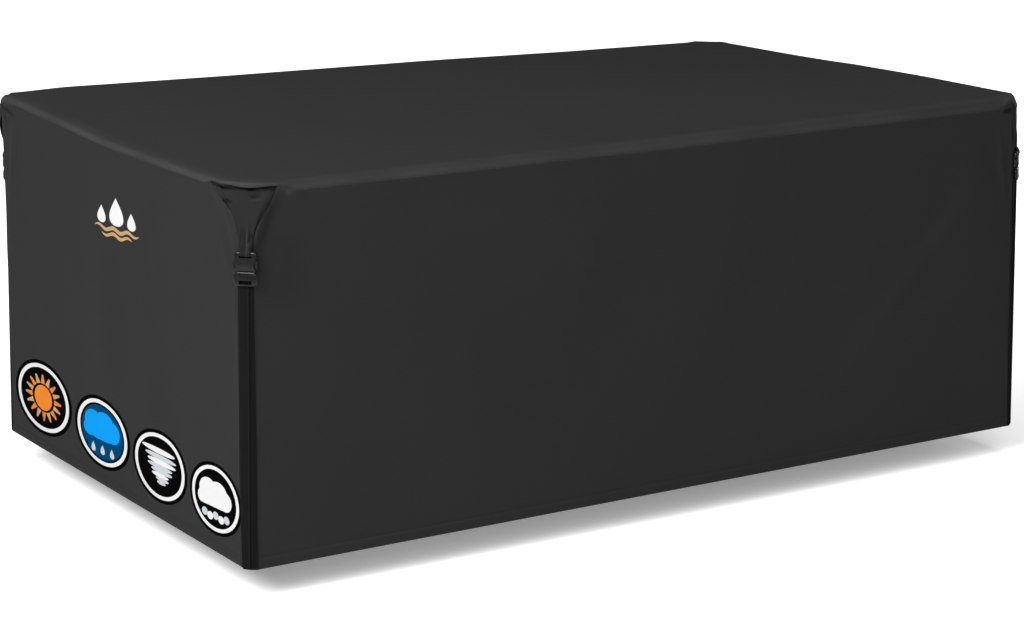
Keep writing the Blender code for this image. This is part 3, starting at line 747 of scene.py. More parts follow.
def side_face(form, index):
    """A side panel, from its seam to its hem: rows run down and columns along it."""
    along_way = np.array(SIDES[index]["along"], float)
    hem = np.arange(ROW_STEPS[-1]["until"] + HEM_STEP, form.height - HEM_STEP / 2.0, HEM_STEP)
    depths = np.concatenate((stepped(ROW_STEPS, ROLL_CORNER - GAP), hem, [form.height]))
    ends = stepped(END_STEPS)
    between = max(2, round((2.0 * form.half[index % 2] - 0.2) / MIDDLE_STEP))
    rows, places, edges, true_depths = [], [], [], []
    for depth in depths:
        fade = max(0.0, 1.0 - (depth - ROLL_CORNER + GAP) / ROLL_FADE)
        runs, beyond = [], []
        for turn, end in ((index, 1), (index + 1, 0)):
            share = form.gusset_edges(turn, depth)[end]
            is_past = share < 0.0 or share > 1.0
            deeper = depth + (form.seam_depth(turn, share) - ROLL_CORNER) * fade * is_past
            share = float(form.gusset_edges(turn, deeper)[end])
            beyond.append(float(form.past_curve(turn, deeper, share)))
            if end:
                shares = np.linspace(share, max(1.0, share + 0.001), END_POINTS)
            else:
                shares = np.linspace(min(0.0, share - 0.001), share, END_POINTS)
            runs.append(form.corner_curve(turn, deeper, shares))
        outline = np.concatenate(runs)
        run = run_along(outline)
        middle = np.linspace(ends[-1], run[-1] - ends[-1], between + 1)[1:-1]
        along = np.concatenate((ends, middle, run[-1] - ends[::-1]))
        sink = form.side_roll(index, along + beyond[0], run[-1] + sum(beyond)) - ROLL_CORNER
        rows.append(read_off(along, run, outline))
        places.append(along - run[-1] / 2.0 + (beyond[0] - beyond[1]) / 2.0)
        edges.append(np.minimum(along, run[-1] - along))
        true_depths.append(depth + sink * fade)
    flat = np.array(rows)
    places, edges, depth = np.array(places), np.array(edges), np.array(true_depths)
    straight = flat @ along_way
    flat = flat + outside(index) * form.fold_push(index, straight, depth)[..., None]
    face = Face(form.lifted(flat, depth), np.stack((places, depth), axis=-1))
    below = np.broadcast_to((depths - depths[0])[:, None], places.shape)
    face.push(side_relief(form, index, places, depth, edges, below))
    # The panel's painted light and shade.
    tones = [tone for tone in SIDE_PAINTED_LIGHT if tone["side"] == index]
    face.tone = crease_push(tones, places, depth)
    return face


def side_relief(form, index, along, depth, edge, below):
    """The small forms of a side panel: creases, slack, seam puckers, rims and hem."""
    creases = [crease for crease in SIDE_CREASES if crease["side"] == index]
    above_hem = form.height - depth
    calm = smooth(below / CALM_SEAM) * smooth(above_hem / CALM_HEM) * smooth(edge / CALM_END)
    relief = crease_push(creases, along, depth) * form.folds
    relief += slack(along, depth, SIDE_SEED * index) * calm
    pucker = np.sin(along / PUCKER_WAVE * 2.0 * math.pi + 2.0 * np.sin(along * PUCKER_SWAY))
    relief += PUCKER_LIFT * pucker * bell(below / PUCKER_REACH) * smooth(edge / PUCKER_END)
    relief -= SEAM_DIP * bell(below / SEAM_DIP_REACH)
    tuck = smooth((PINCH_DEPTH - depth) / 0.05) * smooth(below / 0.006 + 0.3)
    relief += RIM_RISE * bell((edge - RIM_REACH) / RIM_REACH) * tuck
    relief -= RIM_FALL * np.maximum(0.0, 1.0 - edge / RIM_FALL_REACH) ** 2 * tuck
    hem_pucker = np.sin(along / PUCKER_WAVE * 1.7 * math.pi + 1.5 * np.sin(along * HEM_PUCKER_SWAY))
    relief += HEM_RISE * smooth((HEM_DEPTH - above_hem) / HEM_FOLD_REACH)
    relief += PUCKER_LIFT * 0.5 * hem_pucker * bell((above_hem - HEM_DEPTH) / HEM_PUCKER_REACH)
    relief -= HEM_DIP * bell((above_hem - HEM_DEPTH) / HEM_DIP_REACH)
    relief -= HEM_CURL * np.maximum(0.0, 1.0 - above_hem / HEM_CURL_REACH) ** 2
    return relief


def gusset_face(form, index):
    """The V of cloth under a top corner, tucked in behind the top's lip."""
    corner = CORNERS[index]
    around = np.linspace(0.0, 1.0, GUSSET_COLUMNS + 1)[None, :]
    down = np.linspace(0.0, 1.0, GUSSET_ROWS + 1)[:, None] ** 1.2
    around, down = np.broadcast_arrays(around, down)
    start, end = form.gusset_edges(index, ROLL_CORNER)
    seam = form.seam_depth(index, mix(start, end, around)) - GAP
    depth = mix(seam, PINCH_DEPTH, down)
    start, end = form.gusset_edges(index, depth)
    flat = form.corner_curve(index, depth, mix(start, end, around))
    below = depth - seam
    share = mix(start, end, around)
    inner = smooth(share / 0.30) * smooth((1.02 - share) / 0.20)
    under = inner * corner["under"] * smooth(1.0 - below / LIP_REACH)
    sunk = GUSSET_SUNK * corner["under"] / CORNERS[0]["under"] * smooth(1.0 - down) ** 0.5
    bulge = inner * corner["bulge"] * bell((depth - BULGE_DEPTH) / BULGE_REACH)
    flat = flat + corner_outward(index) * (bulge - under - sunk)[..., None]
    across = (flat - form.corner_point(index)) @ corner_across(index)
    face = Face(form.lifted(flat, depth), np.stack((across, depth), axis=-1))
    narrow = corner["tuck"] / CORNERS[0]["tuck"]
    spread = across * math.copysign(1.0, corner["aside"]) / narrow
    relief = crease_push(TUCK_CREASES, spread, depth) * corner["folds"]
    relief += slack(across * 3.0, depth * 3.0, TUCK_SEED + index) * 0.6
    face.push(relief * form.folds)
    # Painted shade in the tuck and under the lip, and painted highlights on its folds.
    face.tone = crease_push(TUCK_PAINTED_LIGHT, spread, depth) * corner["folds"]
    return face


def middle_line(form, x):
    """Points of the top's middle line."""
    reach = form.half[0] - form.half[1]
    return np.stack((np.clip(x, -reach, reach), np.zeros(np.shape(x))), axis=-1)


def top_outline(form):
    """The top's seam line all round: places, ways out, rolls, the points of the middle line
    where the columns of both long sides meet, and each side's share of a place."""
    places, outs, rolls, middles, shares_of = [], [], [], [], []
    for index in range(4):
        shares = np.linspace(0.0, 1.0, CORNER_STEPS + 1)
        roll = form.corner_roll(index, shares)
        ahead = form.corner_curve(index, roll, np.minimum(1.0, shares + 0.02))
        behind = form.corner_curve(index, roll, np.maximum(0.0, shares - 0.02))
        way = units(ahead - behind)
        place = form.corner_curve(index, roll, shares)
        places.append(place)
        outs.append(np.stack((way[:, 1], -way[:, 0]), axis=-1))
        rolls.append(roll)
        middles.append(middle_line(form, place[:, 0]))
        blend = np.zeros((len(shares), 4))
        blend[:, index - 1], blend[:, index] = 1.0 - shares, shares
        shares_of.append(blend)
        start = form.corner_curve(index, ROLL_CORNER, 1.0)
        end = form.corner_curve(index + 1, ROLL_CORNER, 0.0)
        length = math.hypot(*(end - start))
        near = stepped(TOP_END_STEPS)[1:]
        full = 2.0 * form.half[index % 2]
        count = max(2, round((full - 2.0 * near[-1]) / MIDDLE_STEP))
        along, even = [
            np.concatenate((near, np.linspace(near[-1], run - near[-1], count + 1)[1:-1],
                            run - near[::-1]))
            for run in (length, full)
        ]
        places.append(mix(start, end, along[:, None] / length))
        outs.append(np.broadcast_to(outside(index), (len(along), 2)))
        rolls.append(form.side_roll(index, along, length))
        way_x = SIDES[index]["along"][0]
        middles.append(middle_line(form, way_x * (even - full / 2.0) if way_x else places[-1][:, 0]))
        blend = np.zeros((len(along), 4))
        blend[:, index] = 1.0
        shares_of.append(blend)
    return [np.concatenate(found) for found in (places, outs, rolls, middles, shares_of)]


def top_face(form):
    """The top: rings run from its seam to its middle line."""
    places, outs, rolls, middle, shares = top_outline(form)
    rings, ring_depths, reaches = [], [], []
    for turn in np.linspace(math.pi / 2.0, 0.0, ROLL_STEPS + 1):
        rings.append(places - outs * (rolls * (1.0 - math.sin(turn)))[:, None])
        ring_depths.append(rolls * (1.0 - math.cos(turn)))
        reaches.append(rolls * (math.pi / 2.0 - turn))
    edge = rings[-1]
    length = np.linalg.norm(middle - edge, axis=1)
    for place in stepped(TOP_RING_STEPS)[1:]:
        share = place / form.half[1]
        rings.append(mix(edge, middle, share))
        ring_depths.append(np.zeros(len(edge)))
        reaches.append(rolls * math.pi / 2.0 + share * length)
    rings.append(middle)
    ring_depths.append(np.zeros(len(edge)))
    reaches.append(rolls * math.pi / 2.0 + length)
    flat, depth, reach = np.array(rings), np.array(ring_depths), np.array(reaches)
    face = Face(form.lifted(flat, depth), flat.copy(), ring=True)
    face.normals[-1] = (0.0, 0.0, 1.0)
    relief = crease_push(TOP_CREASES, flat[..., 0], flat[..., 1]) * form.folds
    relief += slack(flat[..., 0], flat[..., 1], TOP_SEED) * smooth(reach / CALM_TOP)
    run = np.arctan2(flat[..., 1], flat[..., 0])
    along = np.where(np.abs(outs[None, :, 1]) > np.abs(outs[None, :, 0]), flat[..., 0], flat[..., 1])
    pucker = np.sin(along / PUCKER_WAVE * 2.0 * math.pi + 2.0 * np.sin(along * PUCKER_SWAY) + run)
    relief += PUCKER_LIFT * 0.8 * pucker * bell(reach / PUCKER_REACH)
    relief -= SEAM_DIP * 0.7 * bell(reach / SEAM_DIP_REACH)
    at_corner = (shares.max(axis=1) < 1.0)[None, :]
    welts = np.zeros(len(places))
    for corner in CORNERS:
        here = in_quarter(corner, places[:, 0], places[:, 1])
        welts += here * corner["under"] / CORNERS[0]["under"]
    relief += LIP_WELT * welts * at_corner * bell((reach - LIP_WELT_REACH) / LIP_WELT_REACH)
    face.push(relief)
    face.normals[-1] = (0.0, 0.0, 1.0)
    # Painted highlights along the rolls of the top, where they turn towards the lamps.
    for index, tone in enumerate(ROLL_PAINTED_HIGHLIGHTS):
        light = tone["gain"] * bell((reach - tone["peak"]) / tone["width"])
        light = light + tone["rest"] * smooth((tone["spread"] - reach) / (tone["spread"] * 0.5))
        uneven = 1.0 + 0.30 * np.sin(along * 21.0 + 1.7 * index) * np.sin(along * 8.3)
        face.tone += light * uneven * shares[None, :, index]
    return face


def add_object(name, data):
    """Puts a mesh, a lamp or the camera into the scene."""
    made = bpy.data.objects.new(name, data)
    bpy.context.scene.collection.objects.link(made)
    return made


def shade(mesh, sharp):
    """Smooth shading, but for edges past an angle in degrees."""
    mesh.shade_smooth()
    mesh.set_sharp_from_angle(angle=math.radians(sharp))


def add_mesh(name, verts, faces, uvs, material, tone=None):
    """A piece of cloth or ink with its UV map in metres, and its painted light and shade if any."""
    mesh = bpy.data.meshes.new(name)
    mesh.from_pydata(verts, [], faces)
    if tone is not None:
        mesh.attributes.new("painted_light", "FLOAT", "POINT").data.foreach_set("value", tone)
    layer = mesh.uv_layers.new(name=UV_NAME)
    corners = np.zeros(len(mesh.loops), int)
    mesh.loops.foreach_get("vertex_index", corners)
    layer.data.foreach_set("uv", np.asarray(uvs, float)[corners].ravel())
    mesh.materials.append(material)
    shade(mesh, SHARP_CLOTH)
    return add_object(name, mesh)


def face_slab(name, face, thick, material):
    """Closes a face into a thin sheet of cloth."""
    rows, columns = face.points.shape[:2]
    back = face.points - face.normals * thick
    verts = np.concatenate((face.points.reshape(-1, 3), back.reshape(-1, 3)))
    uvs = np.tile(face.flat.reshape(-1, 2), (2, 1))
    number = np.arange(rows * columns).reshape(rows, columns)
    if face.ring:
        number = np.concatenate((number, number[:, :1]), axis=1)
        rim = number[0]
    else:
        rim = np.concatenate((number[0], number[1:, -1], number[-1, -2::-1], number[-2::-1, 0]))
    a, b = number[:-1, :-1].ravel(), number[:-1, 1:].ravel()
    d, e = number[1:, :-1].ravel(), number[1:, 1:].ravel()
    under = rows * columns
    here, after = rim[:-1], rim[1:]
    faces = np.concatenate((
        np.stack((a, d, e, b), axis=1),
        np.stack((a, b, e, d), axis=1) + under,
        np.stack((here, after, after + under, here + under), axis=1),
    ))
    tone = np.tile(face.tone.ravel(), 2).astype(np.float32)
    made = add_mesh(name, verts.tolist(), faces.tolist(), uvs, material, tone)
    if face.ring:
        tidy_ring(made)
    return made


def tidy_ring(piece):
    """Merges the points that meet on the middle line, and turns every face outwards."""
    shape = bmesh.new()
    shape.from_mesh(piece.data)
    bmesh.ops.remove_doubles(shape, verts=shape.verts, dist=0.00005)
    bmesh.ops.dissolve_degenerate(shape, edges=shape.edges, dist=0.00002)
    bmesh.ops.recalc_face_normals(shape, faces=shape.faces)
    shape.to_mesh(piece.data)
    shape.free()


# ---------------------------------------------------------------- materials


def new_group(name, fill, outputs, inputs):
    """A shader node group with named sockets; fill makes what it holds."""
    group = bpy.data.node_groups.new(name, "ShaderNodeTree")
    for label, default in inputs.items():
        kind = SOCKET_KINDS[np.size(default)]
        made = group.interface.new_socket(name=label, in_out="INPUT", socket_type=kind)
        made.default_value = default
    for label, size in outputs.items():
        group.interface.new_socket(name=label, in_out="OUTPUT", socket_type=SOCKET_KINDS[size])
    start, end = group.nodes.new("NodeGroupInput"), group.nodes.new("NodeGroupOutput")
    fill(group, start.outputs, end.inputs)
    return group


def math_node(tree, operation, first, second=None):
    """A Math node fed by sockets or numbers; gives its output."""
    made = tree.nodes.new("ShaderNodeMath")
    made.operation = operation
    for slot, value in enumerate((first, second)):
        if value is None:
            continue
        if isinstance(value, (int, float)):
            made.inputs[slot].default_value = value
        else:
            tree.links.new(value, made.inputs[slot])
    return made.outputs[0]


def noise_node(tree, vector, scale, detail=2.0):
    made = tree.nodes.new("ShaderNodeTexNoise")
    made.inputs["Scale"].default_value = scale
    made.inputs["Detail"].default_value = detail
    tree.links.new(vector, made.inputs["Vector"])
    return made.outputs["Fac"]


def fill_weave(group, given, out):
    """Crossing threads: how high they stand, with a little unevenness. Across and Down are how
    close the threads lie, in radians a metre."""
    parts = group.nodes.new("ShaderNodeSeparateXYZ")
    group.links.new(given["Vector"], parts.inputs[0])
    warp, weft = [
        math_node(group, "SINE", math_node(group, "MULTIPLY", parts.outputs[axis], given[label]))
        for axis, label in (("X", "Across"), ("Y", "Down"))
    ]
    threads = math_node(group, "MULTIPLY_ADD", math_node(group, "MULTIPLY", warp, weft), 0.5)
    fibres = noise_node(group, given["Vector"], FIBRE_SCALE, 1.0)
    uneven = math_node(group, "MULTIPLY", fibres, given["Unevenness"])
    group.links.new(math_node(group, "ADD", threads, uneven), out["Height"])


def scaled_colour(group, given, change):
    """The given colour, lighter or darker by a share."""
    tint = group.nodes.new("ShaderNodeVectorMath")
    tint.operation = "SCALE"
    group.links.new(given["Colour"], tint.inputs[0])
    group.links.new(math_node(group, "ADD", change, 1.0), tint.inputs["Scale"])
    return tint.outputs[0]


def fill_tone(group, given, out):
    """A base colour made uneven by broad fading and fine slubs; the roughness follows it."""
    broad = noise_node(group, given["Vector"], FADE_SCALE, 3.0)
    fine = noise_node(group, given["Vector"], SLUB_SCALE, 2.0)
    centred = math_node(group, "SUBTRACT", math_node(group, "ADD", broad, fine), 1.0)
    change = math_node(group, "MULTIPLY", centred, given["Variation"])
    group.links.new(scaled_colour(group, given, change), out["Colour"])
    shifted = math_node(group, "MULTIPLY", change, ROUGHNESS_SHARE)
    group.links.new(math_node(group, "ADD", shifted, given["Roughness"]), out["Roughness"])


def fill_painted_light(group, given, out):
    """Paints light and shade into a colour: lighter at painted highlights, darker at painted shade."""
    patches = noise_node(group, given["Vector"], PATCH_SCALE, 3.0)
    patches = math_node(group, "SUBTRACT", patches, 0.5)
    patches = math_node(group, "MULTIPLY", patches, given["Patchiness"])
    change = math_node(group, "MULTIPLY", given["Wear"], math_node(group, "ADD", patches, 1.0))
    group.links.new(scaled_colour(group, given, change), out["Colour"])


# The node groups that the finishes share: what fills each, how many numbers each output
# holds, and the inputs with their defaults. A socket's kind follows from its numbers.
SOCKET_KINDS = {1: "NodeSocketFloat", 3: "NodeSocketVector", 4: "NodeSocketColor"}
ORIGIN = (0.0, 0.0, 0.0)
DARK = (0.02, 0.02, 0.02, 1.0)
SHADER_GROUPS = dict(
    plain_weave=dict(fill=fill_weave, outputs=dict(Height=1),
                     inputs=dict(Vector=ORIGIN, Across=4400.0, Down=4400.0, Unevenness=0.3)),
    uneven_tone=dict(fill=fill_tone, outputs=dict(Colour=4, Roughness=1),
                     inputs=dict(Vector=ORIGIN, Colour=DARK, Variation=0.2, Roughness=0.7)),
    painted_light_and_shade=dict(fill=fill_painted_light, outputs=dict(Colour=4),
                   inputs=dict(Vector=ORIGIN, Colour=DARK, Wear=0.0, Patchiness=0.5)),
)


def use_group(tree, name, **values):
    """Places a shared group, built the first time, with its own values; gives its outputs."""
    made = tree.nodes.new("ShaderNodeGroup")
    made.node_tree = bpy.data.node_groups.get(name) or new_group(name, **SHADER_GROUPS[name])
    for label, value in values.items():
        if isinstance(value, bpy.types.NodeSocket):
            tree.links.new(value, made.inputs[label])
        else:
            made.inputs[label].default_value = value
    return made.outputs


def wire(tree, nodes, links):
    """Links nodes by their short names: from, its output, to, its input."""
    for source, output, target, entry in links:
        tree.links.new(nodes[source].outputs[output], nodes[target].inputs[entry])


def start_finish(name, colour, roughness, specular, variation):
    """A new material: gives it, its nodes, its coordinates and its uneven tone."""
    made = bpy.data.materials.new(name)
    made.use_nodes = True
    tree = made.node_tree
    tree.nodes["Principled BSDF"].inputs["Specular IOR Level"].default_value = specular
    place = tree.nodes.new("ShaderNodeTexCoord").outputs["Object"]
    tone = use_group(tree, "uneven_tone", Vector=place, Colour=(*colour, 1.0), Variation=variation,
                     Roughness=roughness)
    return made, tree, place, tone


def end_finish(tree, colour, roughness, height, strength, rise):
    """Feeds the shader its colour, its roughness and the bump of a height."""
    shader = tree.nodes["Principled BSDF"]
    raised = tree.nodes.new("ShaderNodeBump")
    raised.inputs["Strength"].default_value = strength
    raised.inputs["Distance"].default_value = rise
    tree.links.new(height, raised.inputs["Height"])
    tree.links.new(colour, shader.inputs["Base Color"])
    tree.links.new(roughness, shader.inputs["Roughness"])
    tree.links.new(raised.outputs["Normal"], shader.inputs["Normal"])


def woven_material(name, colour, roughness, across, down, bump, variation=0.2, specular=0.03):
    """A woven finish whose threads follow the piece's own UV map, in metres."""
    found = bpy.data.materials.get(name)
    if found:
        return found
    made, tree, place, tone = start_finish(name, colour, roughness, specular, variation)
    flat = tree.nodes.new("ShaderNodeUVMap")
    flat.uv_map = UV_NAME
    weave = use_group(tree, "plain_weave", Vector=flat.outputs["UV"],
                      Across=2.0 * math.pi / across, Down=2.0 * math.pi / down)
    # Each piece's painted light and shade, stored on its points, lightens or darkens the colour.
    painted_mask = tree.nodes.new("ShaderNodeAttribute")
    painted_mask.attribute_name = "painted_light"
    shifted = use_group(tree, "painted_light_and_shade", Vector=place, Colour=tone["Colour"], Wear=painted_mask.outputs["Fac"])
    end_finish(tree, shifted["Colour"], tone["Roughness"], weave["Height"], bump, WEAVE_RISE)
    return made


def grained_material(name, colour, roughness, specular, variation=0.35):
    """A plain finish with a fine grain and scuffs."""
    found = bpy.data.materials.get(name)
    if found:
        return found
    made, tree, place, tone = start_finish(name, colour, roughness, specular, variation)
    grain = noise_node(tree, place, GRAIN_SCALE)
    end_finish(tree, tone["Colour"], tone["Roughness"], grain, GRAIN_BUMP, GRAIN_RISE)
    return made


def moulded_plastic(finish):
    return grained_material("moulded_plastic", finish.plastic, 0.28, 0.20)


def sewing_thread(finish):
    return grained_material("sewing_thread", finish.thread, 0.55, 0.20, 0.15)


def printed_ink(prints, label):
    colour = getattr(prints, label)
    return woven_material("printed_ink_" + label, colour, 0.75, 0.0012, 0.0012, 0.25, 0.05, 0.0)


def cover_cloth(finish):
    return woven_material("cover_cloth", finish.cloth, 0.66, 0.0012, 0.0012, 0.35, 0.16)


def corner_tape(finish):
    return woven_material("corner_tape", finish.tape, 0.80, 0.0016, 0.0011, 0.5, 0.2)


def strap_webbing(finish):
    return woven_material("strap_webbing", finish.webbing, 0.74, 0.0022, 0.0015, 0.8, 0.25)


# ---------------------------------------------------------------- strips at the corners


def corner_skin(form, index, side, depth):
    """Points of a corner's surface at distances across it, row by row."""
    across, point = corner_across(index), form.corner_point(index)
    shares = np.linspace(0.0, 1.0, SKIN_POINTS)
    points = []
    for line, here in zip(side, depth):
        curve = form.corner_curve(index, here, shares)
        flat = read_off(line, (curve - point) @ across, curve)
        points.append(form.lifted(flat[None, :, :], here)[0])
    return np.array(points)


def strip_face(form, index, strip):
    """The outer face of a strip of tape or webbing laid down a corner."""
    rows = max(6, round((strip["end"] - strip["start"]) / STRIP_ROW))
    depth = np.linspace(strip["start"], strip["end"], rows + 1)
    middle = CORNERS[index]["aside"] * np.linspace(*strip["sides"], rows + 1)
    side = strip["width"] * np.linspace(-0.5, 0.5, strip["columns"] + 1)
    points = corner_skin(form, index, middle[:, None] + side, depth)
    face = Face(points, np.stack(np.meshgrid(side, depth), axis=-1))
    face.push(np.full(points.shape[:2], strip["lift"]))
    return face


# ---------------------------------------------------------------- buckles


def buckle_seat(form, index):
    """Turns the buckle's own frame to its place: its back lies on the cloth at its top and on
    the strap at its foot, so it leans a little."""
    side = CORNERS[index]["aside"] * BUCKLE_SIDE
    out, across = corner_outward(index), corner_across(index)
    lifts = (STRAP_THICK + BUCKLE_LIFT, GAP + BAND_THICK + STRAP_LIFT + STRAP_THICK + BUCKLE_LIFT)
    ends = []
    for depth, lift in zip((BUCKLE_DEPTH, BUCKLE_DEPTH + BUCKLE_LENGTH), lifts):
        point = corner_skin(form, index, np.array([[side]]), np.array([depth]))[0, 0]
        lift -= CORNERS[index]["sunk"]
        ends.append(((point[:2] - form.corner_point(index)) @ out + lift, point[2]))
    (upper, top), (lower, _) = ends
    lean = math.atan2(lower - upper, BUCKLE_LENGTH)
    place = form.corner_point(index) + across * side + out * upper
    upright = Matrix(((across[0], out[0], 0.0, place[0]), (across[1], out[1], 0.0, place[1]),
                      (0.0, 0.0, 1.0, top), (0.0, 0.0, 0.0, 1.0)))
    return upright @ Matrix.Rotation(lean, 4, "X")


def block_shape(low, high):
    """A block from its lowest to its highest corner."""
    shape = bmesh.new()
    bmesh.ops.create_cube(shape, size=1.0)
    middle, size = (Vector(low) + Vector(high)) / 2.0, Vector(high) - Vector(low)
    turn = Matrix.Translation(middle) @ Matrix.Diagonal((*size, 1.0))
    bmesh.ops.transform(shape, verts=shape.verts, matrix=turn)
    return shape


def rounded_block(low, high, corner, edge):
    """A moulded block: its upright corners and the edges of its front and back are rounded."""
    shape = block_shape(low, high)
    half = (high[1] - low[1]) / 2.0
    upright = [line for line in shape.edges if depth_of(line) > half]
    bmesh.ops.bevel(shape, geom=upright, offset=corner, segments=5, profile=0.5, affect="EDGES")
    flat = [line for line in shape.edges if depth_of(line) < 1e-6]
    bmesh.ops.bevel(shape, geom=flat, offset=edge, segments=3, profile=0.5, affect="EDGES")
    return as_tool(shape)


def depth_of(line):
    """How far an edge runs from the back to the front."""
    return abs(line.verts[0].co.y - line.verts[1].co.y)


def plain_box(low, high):
    return as_tool(block_shape(low, high))


def slot_tool(ends):
    """What cuts a webbing slot right through the buckle."""
    return plain_box((-SLOT_HALF, -BUCKLE_HALF, ends[0]), (SLOT_HALF, BUCKLE_HALF, ends[1]))


def side_rib(sign, near, far, z, back, front):
    """A rib on one side of the buckle, from near to far out."""
    ends = sorted((sign * near, sign * far))
    return plain_box((ends[0], back, z - RIB[0] / 2.0), (ends[1], front, z + RIB[0] / 2.0))


def oval_post(place, low, high):
    """An oval post that stands out from the buckle's back, from low to high."""
    shape = bmesh.new()
    bmesh.ops.create_cone(shape, cap_ends=True, segments=28, radius1=1.0, radius2=1.0, depth=1.0)
    turn = Matrix.Rotation(math.pi / 2.0, 4, "X")
    size = Matrix.Diagonal((place["across"], high - low, place["down"], 1.0))
    where = Matrix.Translation((place["x"], (low + high) / 2.0, place["z"]))
    bmesh.ops.transform(shape, verts=shape.verts, matrix=where @ size @ turn)
    return as_tool(shape)


def as_tool(shape):
    """The body or tool that a shape becomes."""
    mesh = bpy.data.meshes.new("buckle_stage")
    bmesh.ops.recalc_face_normals(shape, faces=shape.faces)
    shape.to_mesh(mesh)
    shape.free()
    return add_object("buckle_stage", mesh)


def carve(body, tools, operation):
    """Cuts tools out of a body, or joins them to it, and leaves a plain mesh."""
    for tool in tools:
        step = body.modifiers.new("carve", "BOOLEAN")
        step.operation = operation
        step.object = tool
    made_plain(body)
    for tool in tools:
        bpy.data.objects.remove(tool, do_unlink=True)


def socket_body():
    """The buckle's upper half, with its throat, side windows and slot."""
    body = rounded_block((-BUCKLE_HALF, 0.0, -SOCKET_LENGTH), (BUCKLE_HALF, SOCKET_THICK, 0.0),
                         SOCKET_ROUND["corner"], SOCKET_ROUND["edge"])
    over = BUCKLE_HALF
    throat = plain_box((-THROAT["half"], THROAT["back"], -SOCKET_LENGTH - over),
                       (THROAT["half"], THROAT["front"], THROAT["top"]))
    windows = [oval_post({**WINDOW, "x": sign * WINDOW["x"]}, -over, over) for sign in (-1, 1)]
    carve(body, [throat, slot_tool(SOCKET_SLOT), *windows], "DIFFERENCE")
    return body


def prong_body():
    """The buckle's lower half: a barred base with finger grips, and two arms with ribbed lugs."""
    low = (SOCKET_THICK - PRONG_THICK) / 2.0
    high = low + PRONG_THICK
    start = -SOCKET_LENGTH - GAP
    body = rounded_block((-BUCKLE_HALF, low, -BUCKLE_LENGTH), (BUCKLE_HALF, high, start),
                         PRONG_ROUND["corner"], PRONG_ROUND["edge"])
    carve(body, [slot_tool(PRONG_SLOT)], "DIFFERENCE")
    back, front = THROAT["back"] + GAP, THROAT["front"] - GAP
    lug_end = LUG["x"] + LUG["across"] + RIB[1] * 0.4
    grip_start, grip_end = BUCKLE_HALF - RIB[1], BUCKLE_HALF + RIB[1] * 0.5
    tools = []
    for sign in (-1, 1):
        arm = sign * (THROAT["half"] - ARM_HALF - 2.0 * GAP)
        tools.append(plain_box((arm - ARM_HALF, back, start - ARM_HALF), (arm + ARM_HALF, front, ARM_TOP)))
        tools.append(oval_post({**LUG, "x": sign * LUG["x"]}, back, front))
        for rib in range(LUG_RIBS):
            z = LUG["z"] + (rib - (LUG_RIBS - 1) / 2.0) * LUG_PITCH
            tools.append(side_rib(sign, LUG["x"], lug_end, z, back + GAP, front - GAP))
        for z in GRIP_PLACES:
            tools.append(side_rib(sign, grip_start, grip_end, z, low + RIB[1], high - RIB[1]))
    carve(body, tools, "UNION")
    return body


def seated(body, name, seat, paint):
    """A copy of a moulded body in its place, its faces outwards."""
    shape = bmesh.new()
    shape.from_mesh(body.data)
    bmesh.ops.transform(shape, verts=shape.verts, matrix=seat)
    bmesh.ops.remove_doubles(shape, verts=shape.verts, dist=0.00001)
    bmesh.ops.recalc_face_normals(shape, faces=shape.faces)
    mesh = bpy.data.meshes.new(name)
    shape.to_mesh(mesh)
    shape.free()
    mesh.materials.clear()
    mesh.materials.append(paint)
    shade(mesh, SHARP_PLASTIC)
    return add_object(name, mesh)


def tab_face(index, seat):
    """The gathered tab: out of the tuck, over the socket's top bar and into its slot."""
    path = np.array(TAB_PATH)
    run = run_along(path)
    down = np.linspace(0.0, run[-1], TAB_POINTS)
    side = TAB_WIDTH * np.linspace(-0.5, 0.5, TAB_COLUMNS)
    out, up = read_off(down, run, path).T
    narrow = 1.0 - TAB_PINCH * bell((down - run[-1]) / run[-1])
    places = side[None, :] * narrow[:, None]
    rise = TAB_RIDGE["rise"] * bell((places - TAB_RIDGE["place"]) / TAB_RIDGE["width"])
    local = np.stack((places, out[:, None] + rise, np.broadcast_to(up[:, None], places.shape)), axis=-1)
    turn = np.array(seat)
    points = local @ turn[:3, :3].T + turn[:3, 3]
    flat = np.stack(np.broadcast_arrays(side[None, :], down[:, None]), axis=-1)
    face = Face(points, flat)
    # Painted shade and a painted highlight on the tab.
    face.tone = crease_push(TAB_PAINTED_LIGHT, places * math.copysign(1.0, CORNERS[index]["aside"]), down[:, None])
    return face


# ---------------------------------------------------------------- prints on the short side


def oval(middle, reach, lean=0.0, count=48):
    turn = np.linspace(0.0, 2.0 * math.pi, count, endpoint=False)
    first = middle[0] + reach[0] * np.cos(turn)
    return np.stack((first, middle[1] + reach[1] * np.sin(turn) + lean * (first - middle[0])), axis=-1)


def cloud(puffs, base, count=96):
    """The outline round overlapping puffs, seen from their middle, with a flat base."""
    outline = []
    for turn in np.linspace(0.0, 2.0 * math.pi, count, endpoint=False):
        way = np.array((math.cos(turn), math.sin(turn)))
        reach = 0.0
        for right, down, wide, tall in puffs:
            size = np.array((wide, tall))
            step, start = way / size, -np.array((right, down)) / size
            a, b, c = step @ step, step @ start, start @ start - 1.0
            if b * b > a * c:
                reach = max(reach, (-b + math.sqrt(b * b - a * c)) / a)
        outline.append(way * reach)
    outline = np.array(outline)
    outline[:, 1] = np.minimum(outline[:, 1], base)
    return outline


def water_drop(middle, reach, count=36):
    turn = np.linspace(0.0, 2.0 * math.pi, count, endpoint=False)
    wide = np.sin(turn) * np.sin(turn / 2.0) ** 1.4
    return np.stack((middle[0] + reach[0] * wide * 1.2, middle[1] - reach[1] * np.cos(turn)), axis=-1)


def sun_ray(turn, near, far, half_width):
    """One ray of the sun, narrower at its far end."""
    way = np.array((math.cos(turn), math.sin(turn)))
    aside = np.array((-way[1], way[0]))
    return np.array((way * near - aside * half_width, way * far - aside * half_width * 0.35,
                     way * far + aside * half_width * 0.35, way * near + aside * half_width))


